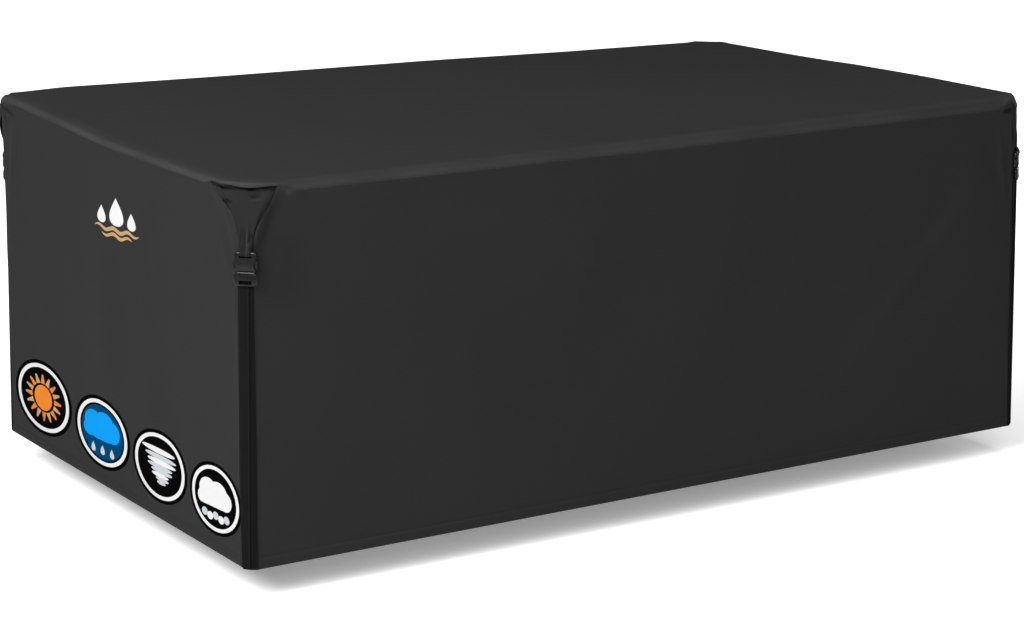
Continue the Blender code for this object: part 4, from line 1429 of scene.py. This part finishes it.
def water_wave(reach, down, half_height, count=40):
    first = np.linspace(-reach, reach, count)
    middle = down + 0.08 * np.sin(first * 2.0 * math.pi / 0.6)
    half = half_height * np.sqrt(np.maximum(0.02, 1.0 - (first / reach) ** 2))
    upper = np.stack((first, middle - half), axis=-1)
    lower = np.stack((first, middle + half), axis=-1)
    return np.concatenate((upper, lower[::-1]))


def sun_print():
    rays = [
        dict(ink="tan" if turn % 2 else "orange", outline=sun_ray(turn * math.pi / 8.0, 0.48, 0.78, 0.085))
        for turn in range(16)
    ]
    return [dict(ink="orange", outline=oval((0.0, 0.0), (0.38, 0.42))), *rays]


def rain_print():
    drops = [
        dict(ink="pale", outline=water_drop((right, 0.60), (0.11, 0.17))) for right in (-0.42, 0.0, 0.42)
    ]
    ground = dict(ink="deep_blue", outline=oval((0.0, 0.0), (0.93, 0.93)), layer=1)
    return [ground, dict(ink="blue", outline=cloud(RAIN_PUFFS, 0.27)), *drops]


def wind_print():
    return [
        dict(ink="white" if number in (0, 2, 5) else "pale", outline=oval((x, y), (wide, tall), 0.06))
        for number, (x, y, wide, tall) in enumerate(WIND_BANDS)
    ]


def snow_print():
    flakes = [
        dict(ink="white" if number % 2 else "pale",
             outline=oval((right, 0.58 + 0.07 * (number % 2)), (0.135, 0.14)))
        for number, right in enumerate(np.linspace(-0.52, 0.52, 5))
    ]
    return [dict(ink="white", outline=cloud(SNOW_PUFFS, 0.30)), *flakes]


def drops_print():
    large, small = (0.34, 0.68), (0.20, 0.42)
    places = ((0.0, -0.30, large), (-0.62, -0.02, small), (0.62, -0.02, small))
    waves = ((0.92, 0.60, 0.10), (0.62, 0.88, 0.09))
    return [
        *[dict(ink="white", outline=water_drop((right, down), reach)) for right, down, reach in places],
        *[dict(ink="gold", outline=water_wave(*wave)) for wave in waves],
    ]


def inside(outline, places):
    """Which places lie inside a closed outline."""
    x, y = places[:, 0][:, None], places[:, 1][:, None]
    start, end = outline, np.roll(outline, -1, axis=0)
    crossed = (start[:, 1] > y) != (end[:, 1] > y)
    rise = np.where(end[:, 1] == start[:, 1], 1.0, end[:, 1] - start[:, 1])
    slope = (end[:, 0] - start[:, 0]) / rise
    return (crossed & (x < start[:, 0] + (y - start[:, 1]) * slope)).sum(axis=1) % 2 == 1


def ink_patch(outlines):
    """Points and triangles that fill the first outline, less the others, on the flat cloth:
    small enough to follow its folds."""
    places, edges = [], []
    for outline in outlines:
        finer = []
        for start, end in zip(outline, np.roll(outline, -1, axis=0)):
            count = max(1, math.ceil(np.linalg.norm(end - start) / PRINT_STEP))
            finer.append(start + (end - start) * np.arange(count)[:, None] / count)
        finer = np.concatenate(finer)
        first = sum(len(found) for found in places)
        number = np.arange(len(finer))
        edges += np.stack((first + number, first + (number + 1) % len(finer)), axis=-1).tolist()
        places.append(finer)
    low, high = outlines[0].min(axis=0), outlines[0].max(axis=0)
    lines = [np.arange(low[axis], high[axis], PRINT_STEP) for axis in range(2)]
    grid = np.stack(np.meshgrid(*lines), axis=-1).reshape(-1, 2)
    grid = grid[inside(outlines[0], grid)]
    around = np.concatenate(places)
    nearest = []
    if len(grid):
        nearest = np.linalg.norm(grid[:, None, :] - around[None, :, :], axis=-1).min(axis=1)
    places.append(grid[np.asarray(nearest) > PRINT_STEP * 0.45])
    points = [Vector(place) for place in np.concatenate(places)]
    points, _, triangles, *_ = geometry.delaunay_2d_cdt(points, edges, [], 0, 1e-7)
    points = np.array([tuple(point) for point in points])
    triangles = np.array(triangles)
    middles = points[triangles].mean(axis=1)
    keep = inside(outlines[0], middles)
    for hole in outlines[1:]:
        keep &= ~inside(hole, middles)
    return points, triangles[keep]


def add_print(face, prints, disc, shapes):
    """One print: thin layers of ink that follow the cloth's face."""
    verts, faces, inks, uvs, labels = [], [], [], [], []
    for shape in shapes:
        outlines = []
        for outline in (shape["outline"], *shape.get("holes", ())):
            offset = outline * np.array(disc["reach"])
            offset[:, 1] -= PRINT_LEAN * offset[:, 0]
            outlines.append(offset + np.array(disc["middle"]))
        points, triangles = ink_patch(outlines)
        found = [face.at(*point) for point in points]
        skin, normal = np.array([pair[0] for pair in found]), np.array([pair[1] for pair in found])
        layer = shape.get("layer", 2)
        count, start = len(points), sum(len(part) for part in verts)
        verts.append(skin + normal * INK_LAYER * (layer + 1))
        verts.append(skin + normal * INK_LAYER * (layer - 1))
        uvs += [points, points]
        a, b, c = triangles.T
        turned = np.cross(skin[b] - skin[a], skin[c] - skin[a])
        inwards = (turned * normal[a]).sum(axis=1) < 0.0
        triangles[inwards] = triangles[inwards][:, ::-1]
        used = {(a, b) for tri in triangles.tolist() for a, b in zip(tri, tri[1:] + tri[:1])}
        rim = [(a, b) for a, b in used if (b, a) not in used]
        made = (triangles + start).tolist() + (triangles[:, ::-1] + start + count).tolist()
        made += [(b + start, a + start, a + start + count, b + start + count) for a, b in rim]
        faces += made
        if shape["ink"] not in labels:
            labels.append(shape["ink"])
        inks += [labels.index(shape["ink"])] * len(made)
    piece = add_mesh("print_" + disc["name"], np.concatenate(verts).tolist(), faces, np.concatenate(uvs),
                     printed_ink(prints, labels[0]))
    for label in labels[1:]:
        piece.data.materials.append(printed_ink(prints, label))
    piece.data.polygons.foreach_set("material_index", inks)
    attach(piece, "root")


# ---------------------------------------------------------------- stitches


def stitch_tree():
    """Lays a stitch at every pitch along the lines of a mesh."""
    tree = bpy.data.node_groups.new("sewn_stitches", "GeometryNodeTree")
    sockets = tree.interface
    sockets.new_socket(name="Geometry", in_out="INPUT", socket_type="NodeSocketGeometry")
    for label, default in (("Pitch", STITCH_PITCH), ("Length", STITCH_LENGTH), ("Thickness", THREAD)):
        made = sockets.new_socket(name=label, in_out="INPUT", socket_type="NodeSocketFloat")
        made.default_value = default
    sockets.new_socket(name="Thread", in_out="INPUT", socket_type="NodeSocketMaterial")
    sockets.new_socket(name="Geometry", in_out="OUTPUT", socket_type="NodeSocketGeometry")
    kinds = dict(
        start="NodeGroupInput", end="NodeGroupOutput", lines="GeometryNodeMeshToCurve",
        even="GeometryNodeResampleCurve", stitch="GeometryNodeMeshIcoSphere",
        size="ShaderNodeCombineXYZ", lay="FunctionNodeAlignRotationToVector",
        tangent="GeometryNodeInputTangent", place="GeometryNodeInstanceOnPoints",
        real="GeometryNodeRealizeInstances", paint="GeometryNodeSetMaterial",
    )
    nodes = {label: tree.nodes.new(kind) for label, kind in kinds.items()}
    nodes["even"].mode = "LENGTH"
    nodes["lay"].axis = "X"
    nodes["stitch"].inputs["Radius"].default_value = 0.5
    wire(tree, nodes, (
        ("start", "Geometry", "lines", "Mesh"),
        ("lines", "Curve", "even", "Curve"),
        ("start", "Pitch", "even", "Length"),
        ("start", "Length", "size", "X"),
        ("start", "Thickness", "size", "Y"),
        ("start", "Thickness", "size", "Z"),
        ("tangent", "Tangent", "lay", "Vector"),
        ("even", "Curve", "place", "Points"),
        ("stitch", "Mesh", "place", "Instance"),
        ("lay", "Rotation", "place", "Rotation"),
        ("size", "Vector", "place", "Scale"),
        ("place", "Instances", "real", "Geometry"),
        ("real", "Geometry", "paint", "Geometry"),
        ("start", "Thread", "paint", "Material"),
        ("paint", "Geometry", "end", "Geometry"),
    ))
    return tree


def made_plain(piece):
    """Turns a piece and its modifier into a plain mesh."""
    view = bpy.context.evaluated_depsgraph_get()
    mesh = bpy.data.meshes.new_from_object(piece.evaluated_get(view))
    piece.modifiers.clear()
    piece.data = mesh
    mesh.shade_smooth()


def add_stitches(name, rows, tree, thread):
    """Sews along rows of points, each lying on a face."""
    verts, edges = [], []
    for row in rows:
        edges += [(len(verts) + step, len(verts) + step + 1) for step in range(len(row) - 1)]
        verts += [tuple(point) for point in row]
    mesh = bpy.data.meshes.new(name)
    mesh.from_pydata(verts, edges, [])
    piece = add_object(name, mesh)
    sewing = piece.modifiers.new("sewing", "NODES")
    sewing.node_group = tree
    for socket in tree.interface.items_tree:
        if socket.name == "Thread":
            sewing[socket.identifier] = thread
    made_plain(piece)
    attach(piece, "root")


def row_across(face, second, margin):
    """A row of points across a face at one depth, on its outer side."""
    low, high = face.flat[:, :, 0].min(), face.flat[:, :, 0].max()
    places = np.arange(low + margin, high - margin, ROW_STEP)
    return [face.at(place, second)[0] for place in places]


def row_down(face, first, margin):
    low, high = face.flat[0, 0, 1], face.flat[-1, 0, 1]
    places = np.arange(low + margin, high - margin, ROW_STEP)
    return [face.at(first, place)[0] for place in places]


# ---------------------------------------------------------------- properties


class CoverSizes(bpy.types.PropertyGroup):
    """The cover's sizes."""

    length: bpy.props.FloatProperty(
        name="Length", description="Long side of the top", default=LENGTH, unit="LENGTH"
    )
    width: bpy.props.FloatProperty(
        name="Width", description="Short side of the top", default=WIDTH, unit="LENGTH"
    )
    height: bpy.props.FloatProperty(
        name="Height", description="From the top to the hem", default=HEIGHT, unit="LENGTH"
    )
    fold_height: bpy.props.FloatProperty(
        name="Fold Height",
        description="How high the folds and creases stand, as a share of those drawn",
        default=1.0,
        subtype="FACTOR",
    )


class CoverFinish(bpy.types.PropertyGroup):
    """The cover's colours."""

    cloth: bpy.props.FloatVectorProperty(
        name="Cloth", description="Colour of the woven cloth",
        default=(0.0150, 0.0150, 0.0152), subtype="COLOR"
    )
    tape: bpy.props.FloatVectorProperty(
        name="Tape", description="Colour of the corner tapes",
        default=(0.0040, 0.0040, 0.0042), subtype="COLOR"
    )
    webbing: bpy.props.FloatVectorProperty(
        name="Webbing", description="Colour of the straps",
        default=(0.0046, 0.0046, 0.0048), subtype="COLOR"
    )
    plastic: bpy.props.FloatVectorProperty(
        name="Plastic", description="Colour of the buckles",
        default=(0.0030, 0.0030, 0.0032), subtype="COLOR"
    )
    thread: bpy.props.FloatVectorProperty(
        name="Thread", description="Colour of the stitches",
        default=(0.0130, 0.0130, 0.0134), subtype="COLOR"
    )


class CoverPrints(bpy.types.PropertyGroup):
    """The inks of the prints on the short side."""

    dark: bpy.props.FloatVectorProperty(
        name="Dark Ink", description="Ground of the discs",
        default=(0.0016, 0.0016, 0.0017), subtype="COLOR"
    )
    white: bpy.props.FloatVectorProperty(
        name="White Ink", description="Rings, snow cloud and drops",
        default=(0.46, 0.46, 0.46), subtype="COLOR"
    )
    pale: bpy.props.FloatVectorProperty(
        name="Pale Ink", description="Snow, rain and whirlwind",
        default=(0.33, 0.35, 0.36), subtype="COLOR"
    )
    orange: bpy.props.FloatVectorProperty(
        name="Orange Ink", description="The sun",
        default=(0.47, 0.145, 0.016), subtype="COLOR"
    )
    tan: bpy.props.FloatVectorProperty(
        name="Tan Ink", description="The sun's rays",
        default=(0.34, 0.20, 0.09), subtype="COLOR"
    )
    deep_blue: bpy.props.FloatVectorProperty(
        name="Deep Blue Ink", description="Ground of the rain disc",
        default=(0.001, 0.034, 0.092), subtype="COLOR"
    )
    blue: bpy.props.FloatVectorProperty(
        name="Blue Ink", description="The rain cloud",
        default=(0.004, 0.19, 0.50), subtype="COLOR"
    )
    gold: bpy.props.FloatVectorProperty(
        name="Gold Ink", description="The waves under the drops",
        default=(0.30, 0.20, 0.09), subtype="COLOR"
    )


class CoverStudio(bpy.types.PropertyGroup):
    """The studio's light and floor."""

    floor: bpy.props.FloatVectorProperty(
        name="Floor", description="Colour of the floor",
        default=(0.90, 0.90, 0.90), subtype="COLOR"
    )
    # Painted light on the floor, seen by the camera only, which lightens the cover's shadow.
    floor_painted_light: bpy.props.FloatProperty(
        name="Floor Glow", description="Light from under the floor, as from a light table", default=0.28
    )
    sky: bpy.props.FloatProperty(
        name="Sky", description="Strength of the even light from all round", default=0.15
    )
    lamps: bpy.props.FloatProperty(
        name="Lamps", description="Power of the soft lamps, as a share of the studio's own", default=1.0
    )


# ---------------------------------------------------------------- operators


class COVER_OT_studio(bpy.types.Operator):
    """Sets the floor, the soft light and the camera."""

    bl_idname = "cover.studio"
    bl_label = "Studio"

    def execute(self, context):
        studio = context.scene.cover_studio
        add_floor(studio)
        add_sky(studio)
        add_lamps(studio)
        add_camera(context.scene)
        context.scene.view_settings.view_transform = "Standard"
        return {"FINISHED"}


def add_floor(studio):
    """A wide plain floor, a little below the hem."""
    level = CLOTH - HEIGHT - FLOOR_DEPTH
    corners = [(x * FLOOR_HALF, y * FLOOR_HALF, level) for x, y in ((-1, -1), (1, -1), (1, 1), (-1, 1))]
    mesh = bpy.data.meshes.new("studio_floor")
    mesh.from_pydata(corners, [], [(0, 1, 2, 3)])
    paint = bpy.data.materials.new("studio_floor")
    paint.use_nodes = True
    shader = paint.node_tree.nodes["Principled BSDF"]
    shader.inputs["Base Color"].default_value = (*studio.floor, 1.0)
    shader.inputs["Roughness"].default_value = 0.9
    shader.inputs["Specular IOR Level"].default_value = 0.0
    paint_floor_light(paint.node_tree, studio)
    mesh.materials.append(paint)
    floor = add_object("studio_floor", mesh)


def paint_floor_light(tree, studio):
    """Paints light onto the floor that only the camera sees: it is weakest near the cover, where it
    lightens the cover's shadow, and grows further out, so that the floor runs into the white backdrop."""
    kinds = dict(
        place="ShaderNodeTexCoord", reach="ShaderNodeVectorMath", far="ShaderNodeMapRange",
        glow="ShaderNodeEmission", seen="ShaderNodeLightPath", hidden="ShaderNodeMixShader",
        nothing="ShaderNodeEmission", both="ShaderNodeAddShader",
    )
    nodes = {label: tree.nodes.new(kind) for label, kind in kinds.items()}
    nodes.update(shader=tree.nodes["Principled BSDF"], end=tree.nodes["Material Output"])
    nodes["reach"].operation = "LENGTH"
    nodes["nothing"].inputs["Strength"].default_value = 0.0
    far = nodes["far"]
    far.interpolation_type = "SMOOTHSTEP"
    far.inputs["From Min"].default_value = FLOOR_NEAR
    far.inputs["From Max"].default_value = FLOOR_FAR
    far.inputs["To Min"].default_value = studio.floor_painted_light
    wire(tree, nodes, (
        ("place", "Object", "reach", 0),
        ("reach", "Value", "far", "Value"),
        ("far", "Result", "glow", "Strength"),
        ("seen", "Is Camera Ray", "hidden", "Fac"),
        ("nothing", 0, "hidden", 1),
        ("glow", 0, "hidden", 2),
        ("shader", 0, "both", 0),
        ("hidden", 0, "both", 1),
        ("both", 0, "end", "Surface"),
    ))


def add_sky(studio):
    """An even grey light from all round, against a white backdrop."""
    world = bpy.data.worlds.new("studio_sky")
    world.use_nodes = True
    tree = world.node_tree
    nodes = dict(
        light=tree.nodes["Background"], backdrop=tree.nodes.new("ShaderNodeBackground"),
        seen=tree.nodes.new("ShaderNodeLightPath"), either=tree.nodes.new("ShaderNodeMixShader"),
        end=tree.nodes["World Output"],
    )
    for label in ("light", "backdrop"):
        nodes[label].inputs["Color"].default_value = (1.0, 1.0, 1.0, 1.0)
    nodes["light"].inputs["Strength"].default_value = studio.sky
    wire(tree, nodes, (
        ("seen", "Is Camera Ray", "either", "Fac"),
        ("light", 0, "either", 1),
        ("backdrop", 0, "either", 2),
        ("either", 0, "end", "Surface"),
    ))
    bpy.context.scene.world = world


def add_lamps(studio):
    for lamp in LAMPS:
        light = bpy.data.lights.new(lamp["name"], "AREA")
        light.energy = lamp["power"] * studio.lamps
        light.size = lamp["size"]
        made = add_object(lamp["name"], light)
        made.location = lamp["place"]
        aim = Vector((0.0, 0.0, -HEIGHT / 2.0)) - made.location
        made.rotation_euler = aim.to_track_quat("-Z", "Y").to_euler()


def add_camera(scene):
    lens = bpy.data.cameras.new("camera")
    lens.sensor_width = SENSOR
    lens.lens = FOCAL_PIXELS * SENSOR / PICTURE_WIDTH
    lens.clip_end = CLIP_END
    camera = add_object("camera", lens)
    turn = Matrix.Rotation(-CAMERA_YAW, 4, "Z")
    turn = turn @ Matrix.Rotation(math.pi / 2.0 - CAMERA_PITCH, 4, "X")
    turn = turn @ Matrix.Rotation(CAMERA_ROLL, 4, "Z")
    camera.matrix_world = Matrix.Translation(CAMERA_PLACE) @ turn
    scene.camera = camera


class COVER_OT_top(bpy.types.Operator):
    """Lays the top panel, rolled over its edges to the seam."""

    bl_idname = "cover.top"
    bl_label = "Top"

    def execute(self, context):
        sizes = context.scene.cover_sizes
        form = CoverForm(sizes)
        top = face_slab("cover_top", top_face(form), FACE_CLOTH, cover_cloth(context.scene.cover_finish))
        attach(top, "root")
        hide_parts("top_panel")
        return {"FINISHED"}


class COVER_OT_sides(bpy.types.Operator):
    """Hangs the four side panels from the top's seam to the hem."""

    bl_idname = "cover.sides"
    bl_label = "Side Panels"

    def execute(self, context):
        sizes = context.scene.cover_sizes
        form = CoverForm(sizes)
        cloth = cover_cloth(context.scene.cover_finish)
        for index, side in enumerate(SIDES):
            name = "cover_" + side["name"]
            panel = face_slab(name, side_face(form, index), FACE_CLOTH, cloth)
            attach(panel, "root")
            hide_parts(side["name"])
        return {"FINISHED"}


class COVER_OT_tucks(bpy.types.Operator):
    """Sets the tucked V of cloth under each top corner."""

    bl_idname = "cover.tucks"
    bl_label = "Corner Tucks"

    def execute(self, context):
        form = CoverForm(context.scene.cover_sizes)
        for index, corner in enumerate(CORNERS):
            name = "cover_tuck_" + corner["name"]
            face = gusset_face(form, index)
            tuck = face_slab(name, face, FACE_CLOTH, cover_cloth(context.scene.cover_finish))
            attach(tuck, "root")
            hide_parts("corner_gusset_" + corner["name"])
        return {"FINISHED"}


class COVER_OT_strips(bpy.types.Operator):
    """Lays the tape over each corner seam, with its webbing strap."""

    bl_idname = "cover.strips"
    bl_label = "Tapes and Straps"

    def execute(self, context):
        form = CoverForm(context.scene.cover_sizes)
        finish = context.scene.cover_finish
        for index, corner in enumerate(CORNERS):
            for strip in STRIPS:
                face = strip_face(form, index, strip)
                paint = corner_tape(finish) if strip["slot"] == "tape" else strap_webbing(finish)
                name = f"cover_{strip['label']}_{corner['name']}"
                piece = face_slab(name, face, strip["thick"], paint)
                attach(piece, "root")
                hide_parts(strip["node"] + corner["name"])
        return {"FINISHED"}


class COVER_OT_prints(bpy.types.Operator):
    """Prints the weather discs and the drops on the short left side."""

    bl_idname = "cover.prints"
    bl_label = "Prints"

    def execute(self, context):
        face = side_face(CoverForm(context.scene.cover_sizes), PRINT_SIDE)
        prints = context.scene.cover_prints
        motifs = dict(sun=sun_print, rain=rain_print, wind=wind_print, snow=snow_print)
        outer, middle, inner = [
            oval((0.0, 0.0), (reach, reach), count=96) for reach in (PRINT_SURROUND, PRINT_RING, 1.0)
        ]
        surround = dict(ink="dark", outline=outer, layer=0)
        ring = dict(ink="white", outline=middle, holes=(inner,))
        for disc in PRINT_DISCS:
            add_print(face, prints, disc, [surround, ring, *motifs[disc["name"]]()])
        add_print(face, prints, PRINT_DROPS, drops_print())
        return {"FINISHED"}


class COVER_OT_stitches(bpy.types.Operator):
    """Sews under the top's seam, above the hem and along the tapes and straps."""

    bl_idname = "cover.stitches"
    bl_label = "Stitches"

    def execute(self, context):
        form = CoverForm(context.scene.cover_sizes)
        tree, thread = stitch_tree(), sewing_thread(context.scene.cover_finish)
        faces = [side_face(form, index) for index in range(4)]
        seam = [row_across(face, ROLL_CORNER - GAP + SEAM_ROW, SEAM_MARGIN) for face in faces]
        hem = [row_across(face, form.height - HEM_ROW, HEM_MARGIN) for face in faces]
        tapes = []
        for index in range(4):
            for strip in STRIPS:
                face = strip_face(form, index, strip)
                out = strip["width"] / 2.0 - EDGE_ROW
                tapes += [row_down(face, side, TAPE_MARGIN) for side in (-out, out)]
        for name, rows in (("seam", seam), ("hem", hem), ("tapes", tapes)):
            add_stitches("stitches_" + name, rows, tree, thread)
        return {"FINISHED"}


class COVER_OT_buckles(bpy.types.Operator):
    """Moulds the side-release buckles, closed, each with the tab that holds it."""

    bl_idname = "cover.buckles"
    bl_label = "Buckles"

    def execute(self, context):
        form, finish = CoverForm(context.scene.cover_sizes), context.scene.cover_finish
        bodies = (("buckle_socket_", socket_body()), ("buckle_prong_", prong_body()))
        for index, corner in enumerate(CORNERS):
            seat = buckle_seat(form, index)
            for label, body in bodies:
                piece = seated(body, "moulded_" + label + corner["name"], seat, moulded_plastic(finish))
                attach(piece, "root")
                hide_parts(label + corner["name"])
            face = tab_face(index, seat)
            tab = face_slab("cover_tab_" + corner["name"], face, TAB_THICK, cover_cloth(finish))
            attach(tab, "root")
            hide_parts("buckle_tab_" + corner["name"])
        for _, body in bodies:
            bpy.data.objects.remove(body, do_unlink=True)
        return {"FINISHED"}


STEPS = (
    COVER_OT_studio,
    COVER_OT_top,
    COVER_OT_sides,
    COVER_OT_tucks,
    COVER_OT_strips,
    COVER_OT_prints,
    COVER_OT_stitches,
    COVER_OT_buckles,
)


class COVER_PT_panel(bpy.types.Panel):
    """Lists the cover's steps and its settings."""

    bl_idname = "COVER_PT_panel"
    bl_label = "Furniture Cover"
    bl_space_type = "VIEW_3D"
    bl_region_type = "UI"
    bl_category = "Cover"

    def draw(self, context):
        scene = context.scene
        for settings in (scene.cover_sizes, scene.cover_finish, scene.cover_prints, scene.cover_studio):
            for name in settings.__annotations__:
                self.layout.prop(settings, name)
        for step in STEPS:
            self.layout.operator(step.bl_idname)


CLASSES = (CoverSizes, CoverFinish, CoverPrints, CoverStudio, *STEPS, COVER_PT_panel)


def register():
    for made in CLASSES:
        bpy.utils.register_class(made)
    bpy.types.Scene.cover_sizes = bpy.props.PointerProperty(type=CoverSizes)
    bpy.types.Scene.cover_finish = bpy.props.PointerProperty(type=CoverFinish)
    bpy.types.Scene.cover_prints = bpy.props.PointerProperty(type=CoverPrints)
    bpy.types.Scene.cover_studio = bpy.props.PointerProperty(type=CoverStudio)


def unregister():
    del bpy.types.Scene.cover_studio
    del bpy.types.Scene.cover_prints
    del bpy.types.Scene.cover_finish
    del bpy.types.Scene.cover_sizes
    for made in reversed(CLASSES):
        bpy.utils.unregister_class(made)


def main():
    register()
    for step in STEPS:
        group, name = step.bl_idname.split(".")
        getattr(getattr(bpy.ops, group), name)()


if __name__ == "__main__":
    main()
